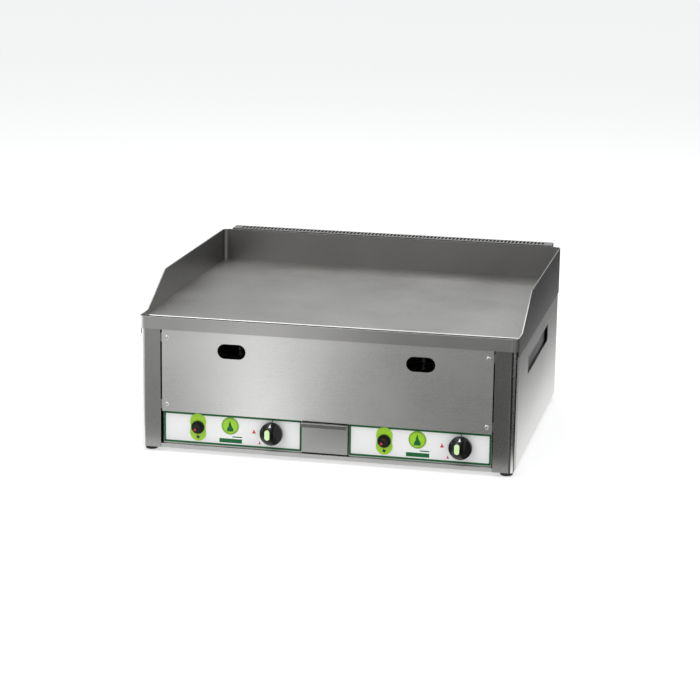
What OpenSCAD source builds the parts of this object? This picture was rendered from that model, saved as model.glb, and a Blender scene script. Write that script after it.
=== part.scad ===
/* [Cooking tray] */
// Width of the tray across the outside of its side guards
tray_w = 660; // [600:10:800]
// Depth of the tray from the fascia to the back guard
tray_d = 552; // [500:4:700]
// Height of the cooking surface above the table
plate_top = 233.5; // [226:0.5:270]
// Thickness of the cooking plate
plate_t = 12; // [8:1:15]
// Height of the splash guards above the cooking surface
guard_h = 59.5; // [50:0.5:90]
// Thickness of the guard and fascia sheet
guard_t = 2; // [1.5:0.5:2.5]
// Length of the low front part of each side guard
guard_low_l = 50; // [30:5:80]
// Front-to-back length of the sloping part of each side guard
guard_slope_l = 107; // [60:1:150]
// Outside radius of the back bends of the guard
guard_r = 10; // [6:1:14]
// Height of the fascia
fascia_h = 22; // [18:1:28]
// Outside radius of the corners of the fascia
fascia_r = 12; // [8:1:16]
// Height of the front rim above the cooking surface
rim_up = 8; // [4:0.5:12]
// How far the side skirts reach below the fascia
skirt_drop = 12.5; // [6:0.5:18]
// Distance from the fascia to the front edge of the cooking plate
trough_w = 46; // [38:1:60]

/* [Flue] */
// Depth of the flue behind the back guard
flue_d = 30; // [26:1:40]
// Distance from the side of the tray to the side of the flue
flue_inset = 18; // [12:1:40]
// Height of the flue above the splash guard
flue_up = 2; // [1:0.5:8]
// Height of the flue box
flue_box_h = 142; // [120:1:150]
// Number of slots in the flue cover
slot_count = 83; // [41:2:91]
// Width of a flue slot
slot_w = 3.8; // [3:0.1:4.2]
// Length of a flue slot
slot_l = 20; // [12:1:22]

/* [Body] */
// Thickness of the body sheet
sheet_t = 1.2; // [0.8:0.1:1.5]
// Width of a front corner post
post_w = 36; // [30:0.1:45]
// Outside radius of the corner of a front post
post_r = 10; // [6:1:12]
// Depth of the side flange of a front post
post_side_d = 31; // [26:1:45]
// Gap between a front post and the panels beside it
post_gap = 2.5; // [1.5:0.1:4]
// Height of the front rail
rail_h = 7.5; // [6:0.5:10]
// Length of a side window
window_l = 266; // [160:2:300]
// Height of a side window
window_h = 31; // [20:1:40]
// Height of the middle of the side windows above the table
window_z = 159.5; // [152:0.5:168]
// Distance from the fascia to the front end of a side window
window_y = 151; // [120:1:180]
// Height of a foot
foot_h = 8; // [6:1:16]
// Radius of a foot where it meets the body
foot_r = 12; // [10:0.5:13]

/* [Front] */
// Height of the bottom edge of the front panel above the table
panel_z = 74; // [71:0.5:79]
// Length of a viewing hole
view_l = 50; // [40:1:60]
// Height of a viewing hole
view_h = 26; // [20:1:30]
// Height of the viewing holes above the table
view_z = 187; // [178:0.5:193]
// How far the control panels sit behind the front panel
recess = 8; // [6:0.5:10]
// Diameter of a gas knob
knob_d = 40; // [36:1:44]
// How far a knob stands out in front of its control panel
knob_reach = 27; // [24:0.5:32]
// Distance of a knob from the middle of its control panel
knob_x = 71.5; // [64:0.5:76]
// Height of the knobs above the table
knob_z = 46.5; // [41:0.5:49]
// Travel of a knob when it is pushed in
knob_travel = 4; // [3:0.5:4.5]
// Distance of an igniter from the middle of its control panel
igniter_x = 61.5; // [58:0.5:70]
// Height of the igniter buttons above the table
igniter_z = 47; // [43:0.5:49]
// Travel of an igniter button
button_travel = 4; // [3:0.5:5]

/* [Drawer] */
// Length of the grease drawer box
drawer_l = 330; // [250:5:400]
// Height of the grease drawer box
drawer_h = 40; // [30:1:44]
// How far the drawer lip stands out in front of the drawer face
lip_out = 12; // [10:0.5:15]
// Height of the front edge of the drawer lip
lip_h = 7; // [5:0.5:10]

/* [Gas train] */
// Radius of the gas inlet thread
inlet_r = 10.48; // [10.48:0.01:10.48]
// Length of the gas inlet thread
inlet_l = 20; // [15:1:24]
// Radius of a burner tube
burner_r = 15; // [12:0.5:18]
// Distance of a burner tube from the middle of its zone
burner_x = 55; // [45:1:65]
// Height of the burner tubes above the table
burner_z = 143; // [133:1:158]
// Number of flame slots in a burner tube
port_count = 16; // [8:1:24]

/* [Hidden] */
$fn = 48;

steel = [0.74, 0.74, 0.72];
dark_steel = [0.45, 0.45, 0.45];
brass = [0.80, 0.65, 0.30];
copper = [0.75, 0.45, 0.30];
ceramic = [0.92, 0.90, 0.85];
black = [0.06, 0.06, 0.06];
lime = [0.58, 0.78, 0.05];
pale_green = [0.83, 0.92, 0.68];

// Sliding clearance between two moving pieces, and the fit of one sheet inside another
gap = 0.3;
// Radial running clearance of a shaft
run = 0.08;
// How far a cut runs past the face that it opens
cut = 1;

// The origin lies under the middle of the whole griddle
overlay_t = 0.5;
post_back = 2.5;
panel_back = 3.5;
control_y0 = panel_back + recess;
knob_out = knob_reach + overlay_t - control_y0;
total_d = knob_out + tray_d + flue_d;
front = knob_out - total_d / 2;
back = front + tray_d;

// Heights
body_top = plate_top - plate_t;
rim_z = plate_top + rim_up;
fascia_z = rim_z - fascia_h;
skirt_z = fascia_z - skirt_drop;
guard_top = plate_top + guard_h;
flue_top = guard_top + flue_up;
flue_z = flue_top - flue_box_h;
rail_z = foot_h + rail_h;

// Half widths
tray_x = tray_w / 2;
tray_in_x = tray_x - guard_t;
body_x = tray_in_x - gap;
body_in_x = body_x - sheet_t;
post_in_x = body_x - post_w;
panel_x = post_in_x - post_gap;
flue_x = tray_x - flue_inset;
zone_x = tray_w / 4;

// Front-to-back places
post_y = front + post_back;
panel_y = front + panel_back;
control_y = front + control_y0;
control_back = control_y + sheet_t;
overlay_y = control_y - overlay_t;
side_y = post_y + post_side_d + 1;
body_back = back - guard_t - gap;
plate_y = front + trough_w;

// Control panels and drawer
control_w = 2 * (panel_x - 0.5 - zone_x);
drawer_w = 2 * zone_x - control_w - 2;
drawer_face_y = front + 6;
drawer_z = rail_z + 2;
lip_z = panel_z - 2;
drawer_box_w = drawer_w - 10;
drawer_box_y = drawer_face_y + sheet_t;
drawer_box_z = rail_z + 8;

// Trough
trough_t = 1.5;
spout_y = front + 2 + (trough_w - 2) / 2 + 2;
spout_r = 11;
spout_end_z = panel_z + 3;

// Gas train
pipe_r = 9;
manifold_y = front + 66;
manifold_z = panel_z + 24;
supply_x = zone_x + 120;
valve_front = control_back + 2;
valve_back = manifold_y + 4;
stem_r = 4;
tube_wall = 1.5;
injector_y = front + 112;
feed_y = injector_y - 18;
feed_r = 5;
burner_y0 = front + 120;
burner_y1 = back - 70;
header_y = (burner_y0 + burner_y1) / 2;
mix_r = 13;
header_r = 12;
bracket_t = 1.5;
bracket_ys = [burner_y0 + 30, burner_y1 - 30];

// Igniter
plate_l = 49;
plate_w = 28.6;
bezel_r = 11.4;
bezel_t = 3;
button_r = 7;
button_out = 6;
plate_up = 1;
piezo_r = 8;
piezo_l = 46;
electrode_x = 18;
sensor_y = burner_y0 + 12;
sensor_z = burner_z + burner_r;

// Stands a module on the left or the right of the body: side is -1 or 1
module on_side(side) {
    if (side < 0) mirror([1, 0, 0]) children();
    else children();
}

module stadium(l, w) {
    square([l - w, w], center = true);
    for (s = [-1, 1]) translate([s * (l - w) / 2, 0]) circle(d = w);
}

module rounded_rect(w, h, r) {
    square([w - 2 * r, h], center = true);
    square([w, h - 2 * r], center = true);
    for (sx = [-1, 1], sy = [-1, 1]) translate([sx * (w / 2 - r), sy * (h / 2 - r)]) circle(r);
}

// A box given by its low and high corners
module span(low, high) {
    translate(low) cube(high - low);
}

// A round bar along Y, from one y to another
module rod_y(x, z, y0, y1, r) {
    translate([x, y0, z]) rotate([-90, 0, 0]) cylinder(r = r, h = y1 - y0);
}

module rod_x(y, z, x0, x1, r) {
    translate([x0, y, z]) rotate([0, 90, 0]) cylinder(r = r, h = x1 - x0);
}

module rod_z(x, y, z0, z1, r) {
    translate([x, y, z0]) cylinder(r = r, h = z1 - z0);
}

// Turns a drawing in X and Z into a sheet whose front face is at y
module front_sheet(y, t) {
    translate([0, y + t, 0]) rotate([90, 0, 0]) linear_extrude(t) children();
}

// A bent wire or pipe through points that differ along one axis at a time
module bent_bar(points, r) {
    for (i = [0 : len(points) - 2]) {
        a = points[i];
        b = points[i + 1];
        low = [min(a[0], b[0]), min(a[1], b[1]), min(a[2], b[2])];
        high = [max(a[0], b[0]), max(a[1], b[1]), max(a[2], b[2])];
        if (high[0] > low[0]) rod_x(low[1], low[2], low[0], high[0], r);
        if (high[1] > low[1]) rod_y(low[0], low[2], low[1], high[1], r);
        if (high[2] > low[2]) rod_z(low[0], low[1], low[2], high[2], r);
    }
    for (i = [1 : 1 : len(points) - 2]) translate(points[i]) sphere(r);
}

/* ---- cooking tray ---- */

module cooking_plate() {
    corner = guard_r - guard_t + 1;
    color(steel) translate([0, 0, body_top]) linear_extrude(plate_t) difference() {
        translate([-tray_in_x, plate_y]) square([2 * tray_in_x, back - guard_t - plate_y]);
        for (s = [-1, 1]) translate([s * tray_in_x, back - guard_t]) difference() {
            square(2 * corner, center = true);
            translate([-s * corner, -corner]) circle(corner);
        }
    }
}

// Outline of the tray seen from above, open at the front, with round back corners
module tray_outline(inset, y0) {
    x = tray_x - inset;
    y1 = back - inset;
    r = guard_r - inset;
    translate([-x, y0]) square([2 * x, y1 - r - y0]);
    translate([-x + r, y0]) square([2 * x - 2 * r, y1 - y0]);
    for (s = [-1, 1]) translate([s * (x - r), y1 - r]) circle(r);
}

module splash_guard() {
    y0 = front + fascia_r + 1;
    slope_y = front + guard_low_l;
    color(steel) difference() {
        translate([0, 0, skirt_z]) linear_extrude(guard_top - skirt_z) difference() {
            tray_outline(0, y0);
            tray_outline(guard_t, y0 - cut);
        }
        translate([-tray_x - cut, 0, 0]) rotate([90, 0, 90]) linear_extrude(tray_w + 2 * cut) polygon([
            [y0 - cut, rim_z],
            [slope_y, rim_z],
            [slope_y + guard_slope_l, guard_top],
            [slope_y + guard_slope_l, guard_top + cut],
            [y0 - cut, guard_top + cut]
        ]);
    }
}

// Outline of the front of the tray seen from above, with round front corners
module fascia_outline(inset, y1) {
    x = tray_x - inset;
    r = fascia_r - inset;
    y0 = front + inset;
    translate([-x + r, y0]) square([2 * x - 2 * r, y1 - y0]);
    translate([-x, y0 + r]) square([2 * x, y1 - y0 - r]);
    for (s = [-1, 1]) intersection() {
        translate([s * (x - r), y0 + r]) circle(r);
        translate([-x, y0]) square([2 * x, r]);
    }
}

module front_fascia() {
    y1 = front + fascia_r + 1;
    color(steel) translate([0, 0, fascia_z]) linear_extrude(fascia_h) difference() {
        fascia_outline(0, y1);
        fascia_outline(guard_t, y1 + cut);
    }
}

// A lined channel between the fascia and the plate, with a spout over the drawer
module grease_trough() {
    color(steel) difference() {
        union() {
            translate([0, 0, body_top]) linear_extrude(plate_t) fascia_outline(guard_t, plate_y);
            rod_z(0, spout_y, spout_end_z, body_top + trough_t, spout_r);
        }
        translate([0, 0, body_top + trough_t]) linear_extrude(plate_t)
            fascia_outline(guard_t + trough_t, plate_y + cut);
        rod_z(0, spout_y, spout_end_z - cut, body_top + trough_t + cut, spout_r - trough_t);
    }
}

/* ---- flue ---- */

module flue_box() {
    y1 = back + flue_d;
    top = flue_top - sheet_t;
    color(steel) difference() {
        union() {
            span([-flue_x, body_back, flue_z], [flue_x, y1, skirt_z - gap]);
            span([-flue_x, back, skirt_z - gap - cut], [flue_x, y1, top]);
        }
        span([-flue_x + sheet_t, body_back - cut, flue_z + sheet_t], [flue_x - sheet_t, y1 - sheet_t, top + cut]);
    }
}

// Half an oblong end as a list of points, turned by the start angle
function half_round(r, y, start) = [for (i = [0 : 6]) [r * cos(start + 30 * i), y + r * sin(start + 30 * i)]];

module flue_cover() {
    pitch = (2 * flue_x - 37) / (slot_count - 1);
    end_y = (slot_l - slot_w) / 2;
    slot = concat(half_round(slot_w / 2, end_y, 0), half_round(slot_w / 2, -end_y, 180));
    color(steel) translate([0, back + flue_d / 2, flue_top - sheet_t]) linear_extrude(sheet_t) difference() {
        square([2 * flue_x, flue_d], center = true);
        for (i = [0 : slot_count - 1]) translate([(i - (slot_count - 1) / 2) * pitch, 0]) polygon(slot);
    }
}

/* ---- body ---- */

module front_post() {
    x_out = body_x;
    x_in = post_in_x;
    r = post_r;
    h = body_top - foot_h;
    tab_x = panel_x - 18;
    color(steel) {
        translate([0, 0, foot_h]) linear_extrude(h) difference() {
            union() {
                translate([x_in, post_y]) square([post_w - r, post_side_d]);
                translate([x_in, post_y + r]) square([post_w, post_side_d - r]);
                translate([x_out - r, post_y + r]) circle(r);
            }
            translate([x_in + sheet_t, post_y + sheet_t]) square([post_w - r - sheet_t, post_side_d + cut]);
            translate([x_in + sheet_t, post_y + r]) square([post_w - 2 * sheet_t, post_side_d + cut]);
            translate([x_out - r, post_y + r]) circle(r - sheet_t);
            translate([x_in - cut, post_y + 20]) square([cut + sheet_t + cut, post_side_d]);
        }
        span([x_in, post_y + r, foot_h], [x_out - sheet_t, post_y + post_side_d, foot_h + sheet_t]);
        for (z = screw_zs) span([tab_x, panel_y + sheet_t, z - 8], [x_in + sheet_t, panel_y + 2 * sheet_t, z + 8]);
    }
}

module side_panel() {
    wy = front + window_y + window_l / 2;
    color(steel) translate([body_in_x, 0, 0]) rotate([90, 0, 90]) linear_extrude(sheet_t) difference() {
        translate([side_y, foot_h]) square([body_back - side_y, body_top - foot_h]);
        translate([back - guard_r, skirt_z - gap]) square([guard_r, body_top]);
        translate([wy, window_z]) rounded_rect(window_l, window_h, 2);
    }
}

// The screen behind a side window stands off the side panel on its folded edges
module heat_shield() {
    depth = 7;
    x0 = body_in_x - depth;
    y0 = front + window_y - 40;
    y1 = front + window_y + window_l + 40;
    z0 = window_z - 60;
    z1 = window_z + 40;
    color(dark_steel) {
        span([x0, y0, z0], [x0 + sheet_t, y1, z1]);
        span([x0, y0, z0], [body_in_x, y1, z0 + sheet_t]);
        span([x0, y0, z1 - sheet_t], [body_in_x, y1, z1]);
    }
}

module back_panel() {
    y0 = body_back - sheet_t;
    color(steel) difference() {
        span([-body_in_x, y0, foot_h], [body_in_x, body_back, body_top]);
        span([-flue_x + 30, y0 - cut, flue_z + 8], [flue_x - 30, body_back + cut, skirt_z - 8]);
        for (s = [-1, 1]) on_side(s) span(
            [tray_x - guard_r, y0 - cut, skirt_z - gap],
            [tray_x, body_back + cut, body_top + cut]
        );
        rod_y(supply_x, manifold_z, y0 - cut, body_back + cut, inlet_r + gap);
    }
}

module base_pan() {
    lip_x = post_in_x - gap;
    flange_h = 20;
    color(steel) {
        span([-lip_x, post_y, foot_h], [lip_x, side_y, foot_h + sheet_t]);
        span([-body_in_x, side_y, foot_h], [body_in_x, body_back - sheet_t, foot_h + sheet_t]);
        span([-lip_x, post_y, foot_h], [lip_x, post_y + sheet_t, rail_z]);
        span([-lip_x, post_y, rail_z - sheet_t], [lip_x, control_back, rail_z]);
        for (s = [-1, 1]) on_side(s) span(
            [body_in_x - sheet_t, side_y, foot_h],
            [body_in_x, body_back - sheet_t, foot_h + flange_h]
        );
    }
}

module feet() {
    x = body_x - foot_r - 2;
    color(black) for (sx = [-1, 1], y = [post_y + foot_r + 7, body_back - 30])
        translate([sx * x, y, 0]) cylinder(r1 = foot_r - 1.5, r2 = foot_r, h = foot_h);
}

/* ---- front ---- */

screw_zs = [panel_z + 12, body_top - 16.5];
screw_x = panel_x - 9;

module front_panel() {
    color(steel) {
        front_sheet(panel_y, sheet_t) difference() {
            translate([-panel_x, panel_z]) square([2 * panel_x, body_top - panel_z]);
            for (s = [-1, 1]) translate([s * zone_x, view_z]) stadium(view_l, view_h);
            for (s = [-1, 1], z = screw_zs) translate([s * screw_x, z]) circle(2.2);
        }
        span([-panel_x, panel_y, panel_z], [panel_x, control_back, panel_z + sheet_t]);
    }
}

module front_panel_screws() {
    color(steel) for (s = [-1, 1], z = screw_zs) {
        rod_y(s * screw_x, z, panel_y - 2, panel_y, 4);
        rod_y(s * screw_x, z, panel_y, panel_y + sheet_t, 2.1);
    }
}

module control_panel(side) {
    x = side * zone_x;
    color(steel) front_sheet(control_y, sheet_t) difference() {
        translate([x - control_w / 2, rail_z]) square([control_w, panel_z - rail_z]);
        translate([x + knob_x, knob_z]) circle(8);
        translate([x - igniter_x, igniter_z]) circle(piezo_r);
    }
}

module panel_overlay(side) {
    x = side * zone_x;
    z0 = rail_z + 1.5;
    z1 = panel_z - 2.4;
    color("white") front_sheet(overlay_y, overlay_t) difference() {
        translate([x, (z0 + z1) / 2]) rounded_rect(control_w - 1, z1 - z0, 2);
        translate([x + knob_x, knob_z]) circle(8);
        translate([x - igniter_x, igniter_z]) circle(piezo_r);
    }
}

module igniter_plate(side) {
    x = side * zone_x - igniter_x;
    color(lime) front_sheet(overlay_y - plate_up, plate_up) difference() {
        translate([x, igniter_z]) rotate([0, 0, 90]) stadium(plate_l, plate_w);
        translate([x, igniter_z]) circle(piezo_r);
    }
}

module piezo_igniter(side) {
    x = side * zone_x - igniter_x;
    face_y = overlay_y - plate_up;
    color(black) difference() {
        union() {
            rod_y(x, igniter_z, face_y - bezel_t, face_y, bezel_r);
            rod_y(x, igniter_z, face_y - bezel_t, control_back + piezo_l, piezo_r);
            rod_y(x, igniter_z, control_back, control_back + 5, piezo_r + 4);
        }
        rod_y(x, igniter_z, face_y - bezel_t - cut, control_back + 12, button_r + run);
    }
}

module igniter_button(side) {
    x = side * zone_x - igniter_x;
    tip_y = overlay_y - plate_up - bezel_t - button_out;
    color(black) {
        rod_y(x, igniter_z, tip_y + 1.5, control_back + 12 - button_travel - gap, button_r);
        translate([x, tip_y + 1.5, igniter_z]) rotate([90, 0, 0]) cylinder(r1 = button_r, r2 = button_r - 1.5, h = 1.5);
    }
}

/* ---- knobs ---- */

knob_back = overlay_y - knob_travel - 0.8;
knob_front = overlay_y - knob_reach;
dial_front = knob_back - 8;
grip_w = 13;
insert_t = 0.8;
insert_w = 9;
insert_l = 18;
insert_up = 1.5;
grip_side = 3.5;
socket_l = 9;

module insert_outline(x) {
    translate([x - grip_side, knob_z + insert_up]) rotate([0, 0, 90]) stadium(insert_l, insert_w);
}

module knob(side) {
    x = side * zone_x + knob_x;
    r = knob_d / 2;
    color(black) difference() {
        union() {
            rod_y(x, knob_z, dial_front, knob_back, r);
            intersection() {
                translate([-grip_side, 0, 0])
                    span([x - grip_w / 2, knob_front, knob_z - r], [x + grip_w / 2, dial_front, knob_z + r]);
                rod_y(x, knob_z, knob_front, dial_front, r);
            }
        }
        rod_y(x, knob_z, knob_back - socket_l, knob_back + cut, stem_r);
        front_sheet(knob_front - cut, insert_t + cut) insert_outline(x);
    }
}

module knob_insert(side) {
    x = side * zone_x + knob_x;
    color(pale_green) front_sheet(knob_front, insert_t) insert_outline(x);
}

module valve_stem(side) {
    x = side * zone_x + knob_x;
    color(brass) rod_y(x, knob_z, knob_back - socket_l, valve_front + 24, stem_r);
}

// The spring seat that the stem turns in, and that moves in and out with it
module stem_collar(side) {
    x = side * zone_x + knob_x;
    color(dark_steel) difference() {
        rod_y(x, knob_z, control_back + 1, control_back + 5, 6);
        rod_y(x, knob_z, control_back, control_back + 6, stem_r + run);
    }
}

module gas_valve(side) {
    x = side * zone_x + knob_x;
    y0 = control_back;
    neck_y = y0 + 26;
    color(brass) difference() {
        union() {
            rod_y(x, knob_z, y0, neck_y, 10);
            span([x - 15, neck_y - 4, knob_z - 15], [x + 15, manifold_y + 14, knob_z + 15]);
            rod_z(x, manifold_y, knob_z + 14, manifold_z - pipe_r, 7);
        }
        rod_y(x, knob_z, y0 - cut, y0 + 6 + knob_travel, 6.5);
        rod_y(x, knob_z, y0, valve_front + 24 + knob_travel + 1, stem_r + run);
    }
}

/* ---- gas train ---- */

module gas_manifold() {
    x0 = -zone_x + knob_x - 20;
    x1 = supply_x + pipe_r + 3;
    color(steel) {
        difference() {
            rod_x(manifold_y, manifold_z, x0, x1, pipe_r);
            for (s = [-1, 1]) rod_z(s * zone_x + knob_x, manifold_y, manifold_z - pipe_r - cut, manifold_z - pipe_r, 7);
        }
    }
}

module supply_pipe() {
    color(steel) difference() {
        rod_y(supply_x, manifold_z, manifold_y, body_back - 18, pipe_r - 1);
        rod_x(manifold_y, manifold_z, supply_x - 20, supply_x + 20, pipe_r + 0.05);
    }
}

module gas_inlet_fitting() {
    y0 = body_back - 18;
    thread_y = body_back + gap;
    color(brass) {
        rod_y(supply_x, manifold_z, body_back - sheet_t, thread_y, inlet_r - 0.5);
        rod_y(supply_x, manifold_z, thread_y, thread_y + inlet_l, inlet_r);
        translate([supply_x, y0, manifold_z]) rotate([-90, 0, 0])
            cylinder(r = 15, h = body_back - sheet_t - y0, $fn = 6);
    }
}

module burner_pipe(side) {
    x0 = side * zone_x + knob_x;
    x1 = side * zone_x;
    color(copper) bent_bar([
        [x0, manifold_y + 14, knob_z],
        [x0, feed_y, knob_z],
        [x1, feed_y, knob_z],
        [x1, feed_y, burner_z],
        [x1, injector_y - 8, burner_z]
    ], feed_r);
}

module injector(side) {
    x = side * zone_x;
    color(brass) {
        translate([x, injector_y - 8, burner_z]) rotate([-90, 0, 0]) cylinder(r = 9, h = 8, $fn = 6);
        translate([x, injector_y, burner_z]) rotate([-90, 0, 0]) cylinder(r1 = 6, r2 = 2.5, h = 12);
    }
}

module burner(side) {
    x = side * zone_x;
    pitch = (burner_y1 - burner_y0 - 60) / (port_count - 1);
    color(dark_steel) difference() {
        union() {
            for (s = [-1, 1]) rod_y(x + s * burner_x, burner_z, burner_y0, burner_y1, burner_r);
            rod_x(header_y, burner_z, x - burner_x, x + burner_x, header_r);
            rod_y(x, burner_z, burner_y0, header_y, mix_r);
        }
        for (s = [-1, 1])
            rod_y(x + s * burner_x, burner_z, burner_y0 + tube_wall, burner_y1 - tube_wall, burner_r - tube_wall);
        rod_x(header_y, burner_z, x - burner_x, x + burner_x, header_r - tube_wall);
        rod_y(x, burner_z, burner_y0 - cut, header_y, mix_r - tube_wall);
        for (s = [-1, 1], i = [0 : port_count - 1]) translate([
            x + s * burner_x - 5, burner_y0 + 30 + i * pitch - 1, burner_z + burner_r - 4
        ]) cube([10, 2, 5]);
    }
}

module burner_brackets() {
    half = burner_x + burner_r + 6;
    color(steel) for (side = [-1, 1], y = bracket_ys) translate([side * zone_x, 0, 0]) {
        difference() {
            span([-half, y, foot_h + sheet_t], [half, y + bracket_t, burner_z]);
            for (s = [-1, 1]) rod_y(s * burner_x, burner_z, y - cut, y + bracket_t + cut, burner_r + 0.1);
            rod_y(0, burner_z, y - cut, y + bracket_t + cut, mix_r + 2);
            span([-half + 20, y - cut, foot_h + 45], [half - 20, y + bracket_t + cut, burner_z - burner_r - 12]);
        }
        span([-half, y, foot_h + sheet_t], [half, y + 14, foot_h + sheet_t + bracket_t]);
    }
}

// The strap across the burner tubes that holds the electrode and the thermocouple
module sensor_bracket(side) {
    x = side * zone_x;
    color(steel) difference() {
        union() {
            span([x - burner_x - 8, sensor_y - 6, sensor_z], [x + burner_x + 8, sensor_y + 6, sensor_z + bracket_t]);
            rod_z(x - burner_x, sensor_y, sensor_z, sensor_z + 4, 4);
            rod_z(x + burner_x, sensor_y, sensor_z, sensor_z + 4, 4);
        }
        for (s = [-1, 1]) rod_z(x + s * electrode_x, sensor_y, sensor_z - cut, sensor_z + bracket_t + cut, 3.2);
    }
}

module thermocouple(side) {
    x = side * zone_x + electrode_x;
    xv = side * zone_x + knob_x;
    drop_y = feed_y + 12;
    color(copper) {
        rod_z(x, sensor_y, sensor_z + bracket_t, sensor_z + bracket_t + 14, 2.5);
        rod_z(x, sensor_y, sensor_z + bracket_t, sensor_z + bracket_t + 2, 5);
        bent_bar([
            [x, sensor_y, sensor_z + bracket_t + 1],
            [x, sensor_y, sensor_z - 3],
            [x, drop_y, sensor_z - 3],
            [x, drop_y, knob_z - 10],
            [xv - 8, drop_y, knob_z - 10],
            [xv - 8, manifold_y + 14, knob_z - 10]
        ], 1.5);
    }
}

module spark_electrode(side) {
    x = side * zone_x - electrode_x;
    top = sensor_z + bracket_t;
    color(ceramic) {
        rod_z(x, sensor_y, sensor_z - 12, top + 12, 3);
        rod_z(x, sensor_y, top, top + 3, 5);
        rod_z(x, sensor_y, top + 11, top + 20, 1);
    }
}

module ignition_lead(side) {
    x0 = side * zone_x - igniter_x;
    x1 = side * zone_x - electrode_x;
    y0 = control_back + piezo_l;
    rise_y = feed_y + 4;
    z1 = sensor_z - 20;
    color(black) bent_bar([
        [x0, y0, igniter_z],
        [x0, rise_y, igniter_z],
        [x0, rise_y, z1],
        [x1, rise_y, z1],
        [x1, sensor_y, z1],
        [x1, sensor_y, sensor_z - 12]
    ], 2);
}

/* ---- grease drawer ---- */

module grease_drawer() {
    w = drawer_box_w;
    color(steel) difference() {
        span([-w / 2, drawer_box_y, drawer_box_z], [w / 2, drawer_box_y + drawer_l, drawer_box_z + drawer_h]);
        span([-w / 2 + sheet_t, drawer_box_y + sheet_t, drawer_box_z + sheet_t],
            [w / 2 - sheet_t, drawer_box_y + drawer_l - sheet_t, drawer_box_z + drawer_h + cut]);
    }
}

module drawer_front() {
    x = drawer_w / 2;
    lip_y = drawer_face_y - lip_out;
    color(steel) {
        span([-x, drawer_face_y, drawer_z], [x, drawer_face_y + sheet_t, lip_z]);
        span([-x, lip_y, lip_z - sheet_t], [x, drawer_face_y + sheet_t, lip_z]);
        span([-x, lip_y, lip_z - lip_h], [x, lip_y + sheet_t, lip_z]);
    }
}

module drawer_runner() {
    x0 = drawer_box_w / 2 + gap;
    y0 = control_back + 2;
    y1 = drawer_box_y + drawer_l + 12;
    color(steel) {
        span([x0, y0, foot_h + sheet_t], [x0 + sheet_t, y1, drawer_box_z + drawer_h - 10]);
        span([x0 - 7, y0, drawer_box_z - gap - sheet_t], [x0 + sheet_t, y1, drawer_box_z - gap]);
    }
}

cooking_plate();
splash_guard();
front_fascia();
grease_trough();
base_pan();
on_side(-1) front_post();  // left_front_post
on_side(1) front_post();  // right_front_post
on_side(-1) side_panel();  // left_side_panel
on_side(1) side_panel();  // right_side_panel
on_side(-1) heat_shield();  // left_heat_shield
on_side(1) heat_shield();  // right_heat_shield
back_panel();
flue_box();
flue_cover();
front_panel();
front_panel_screws();
control_panel(-1);  // left_control_panel
control_panel(1);  // right_control_panel
panel_overlay(-1);  // left_panel_overlay
panel_overlay(1);  // right_panel_overlay
igniter_plate(-1);  // left_igniter_plate
igniter_plate(1);  // right_igniter_plate
piezo_igniter(-1);  // left_piezo_igniter
piezo_igniter(1);  // right_piezo_igniter
igniter_button(-1);  // left_igniter_button
igniter_button(1);  // right_igniter_button
knob(-1);  // left_knob
knob(1);  // right_knob
knob_insert(-1);  // left_knob_insert
knob_insert(1);  // right_knob_insert
valve_stem(-1);  // left_valve_stem
valve_stem(1);  // right_valve_stem
stem_collar(-1);  // left_stem_collar
stem_collar(1);  // right_stem_collar
gas_valve(-1);  // left_gas_valve
gas_valve(1);  // right_gas_valve
gas_manifold();
supply_pipe();
gas_inlet_fitting();
burner_pipe(-1);  // left_burner_pipe
burner_pipe(1);  // right_burner_pipe
injector(-1);  // left_injector
injector(1);  // right_injector
burner(-1);  // left_burner
burner(1);  // right_burner
burner_brackets();
sensor_bracket(-1);  // left_sensor_bracket
sensor_bracket(1);  // right_sensor_bracket
thermocouple(-1);  // left_thermocouple
thermocouple(1);  // right_thermocouple
spark_electrode(-1);  // left_spark_electrode
spark_electrode(1);  // right_spark_electrode
ignition_lead(-1);  // left_ignition_lead
ignition_lead(1);  // right_ignition_lead
on_side(-1) drawer_runner();  // left_drawer_runner
on_side(1) drawer_runner();  // right_drawer_runner
grease_drawer();
drawer_front();
feet();
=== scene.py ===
"""Visual model of a double gas flat griddle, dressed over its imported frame."""

import logging
import math
from dataclasses import dataclass, field
from enum import Enum
from typing import Callable, Sequence

import bpy
from mathutils import Matrix, Vector


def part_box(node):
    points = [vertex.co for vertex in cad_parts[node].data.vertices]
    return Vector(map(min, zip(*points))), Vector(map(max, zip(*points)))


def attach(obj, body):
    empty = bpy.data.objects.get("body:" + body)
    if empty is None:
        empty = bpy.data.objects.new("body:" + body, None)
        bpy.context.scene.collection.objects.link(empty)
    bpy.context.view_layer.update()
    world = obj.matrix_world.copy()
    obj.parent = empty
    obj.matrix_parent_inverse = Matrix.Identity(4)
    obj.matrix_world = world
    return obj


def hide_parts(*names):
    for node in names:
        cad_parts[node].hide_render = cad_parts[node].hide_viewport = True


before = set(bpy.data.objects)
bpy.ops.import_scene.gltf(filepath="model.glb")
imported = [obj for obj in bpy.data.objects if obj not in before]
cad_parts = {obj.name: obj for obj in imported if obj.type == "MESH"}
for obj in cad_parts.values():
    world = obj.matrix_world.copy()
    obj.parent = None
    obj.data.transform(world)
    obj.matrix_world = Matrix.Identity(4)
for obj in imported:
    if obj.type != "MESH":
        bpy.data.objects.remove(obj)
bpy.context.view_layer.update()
LOG = logging.getLogger("griddle")
MM = 0.001


class Side(Enum):
    """The two cooking zones, as they are seen from the front."""

    LEFT = "left"
    RIGHT = "right"


class Grain(Enum):
    """The way a sheet was brushed."""

    ACROSS = (1.0, 0.0, 0.0)
    DEEP = (0.0, 1.0, 0.0)
    UPRIGHT = (0.0, 0.0, 1.0)


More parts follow.
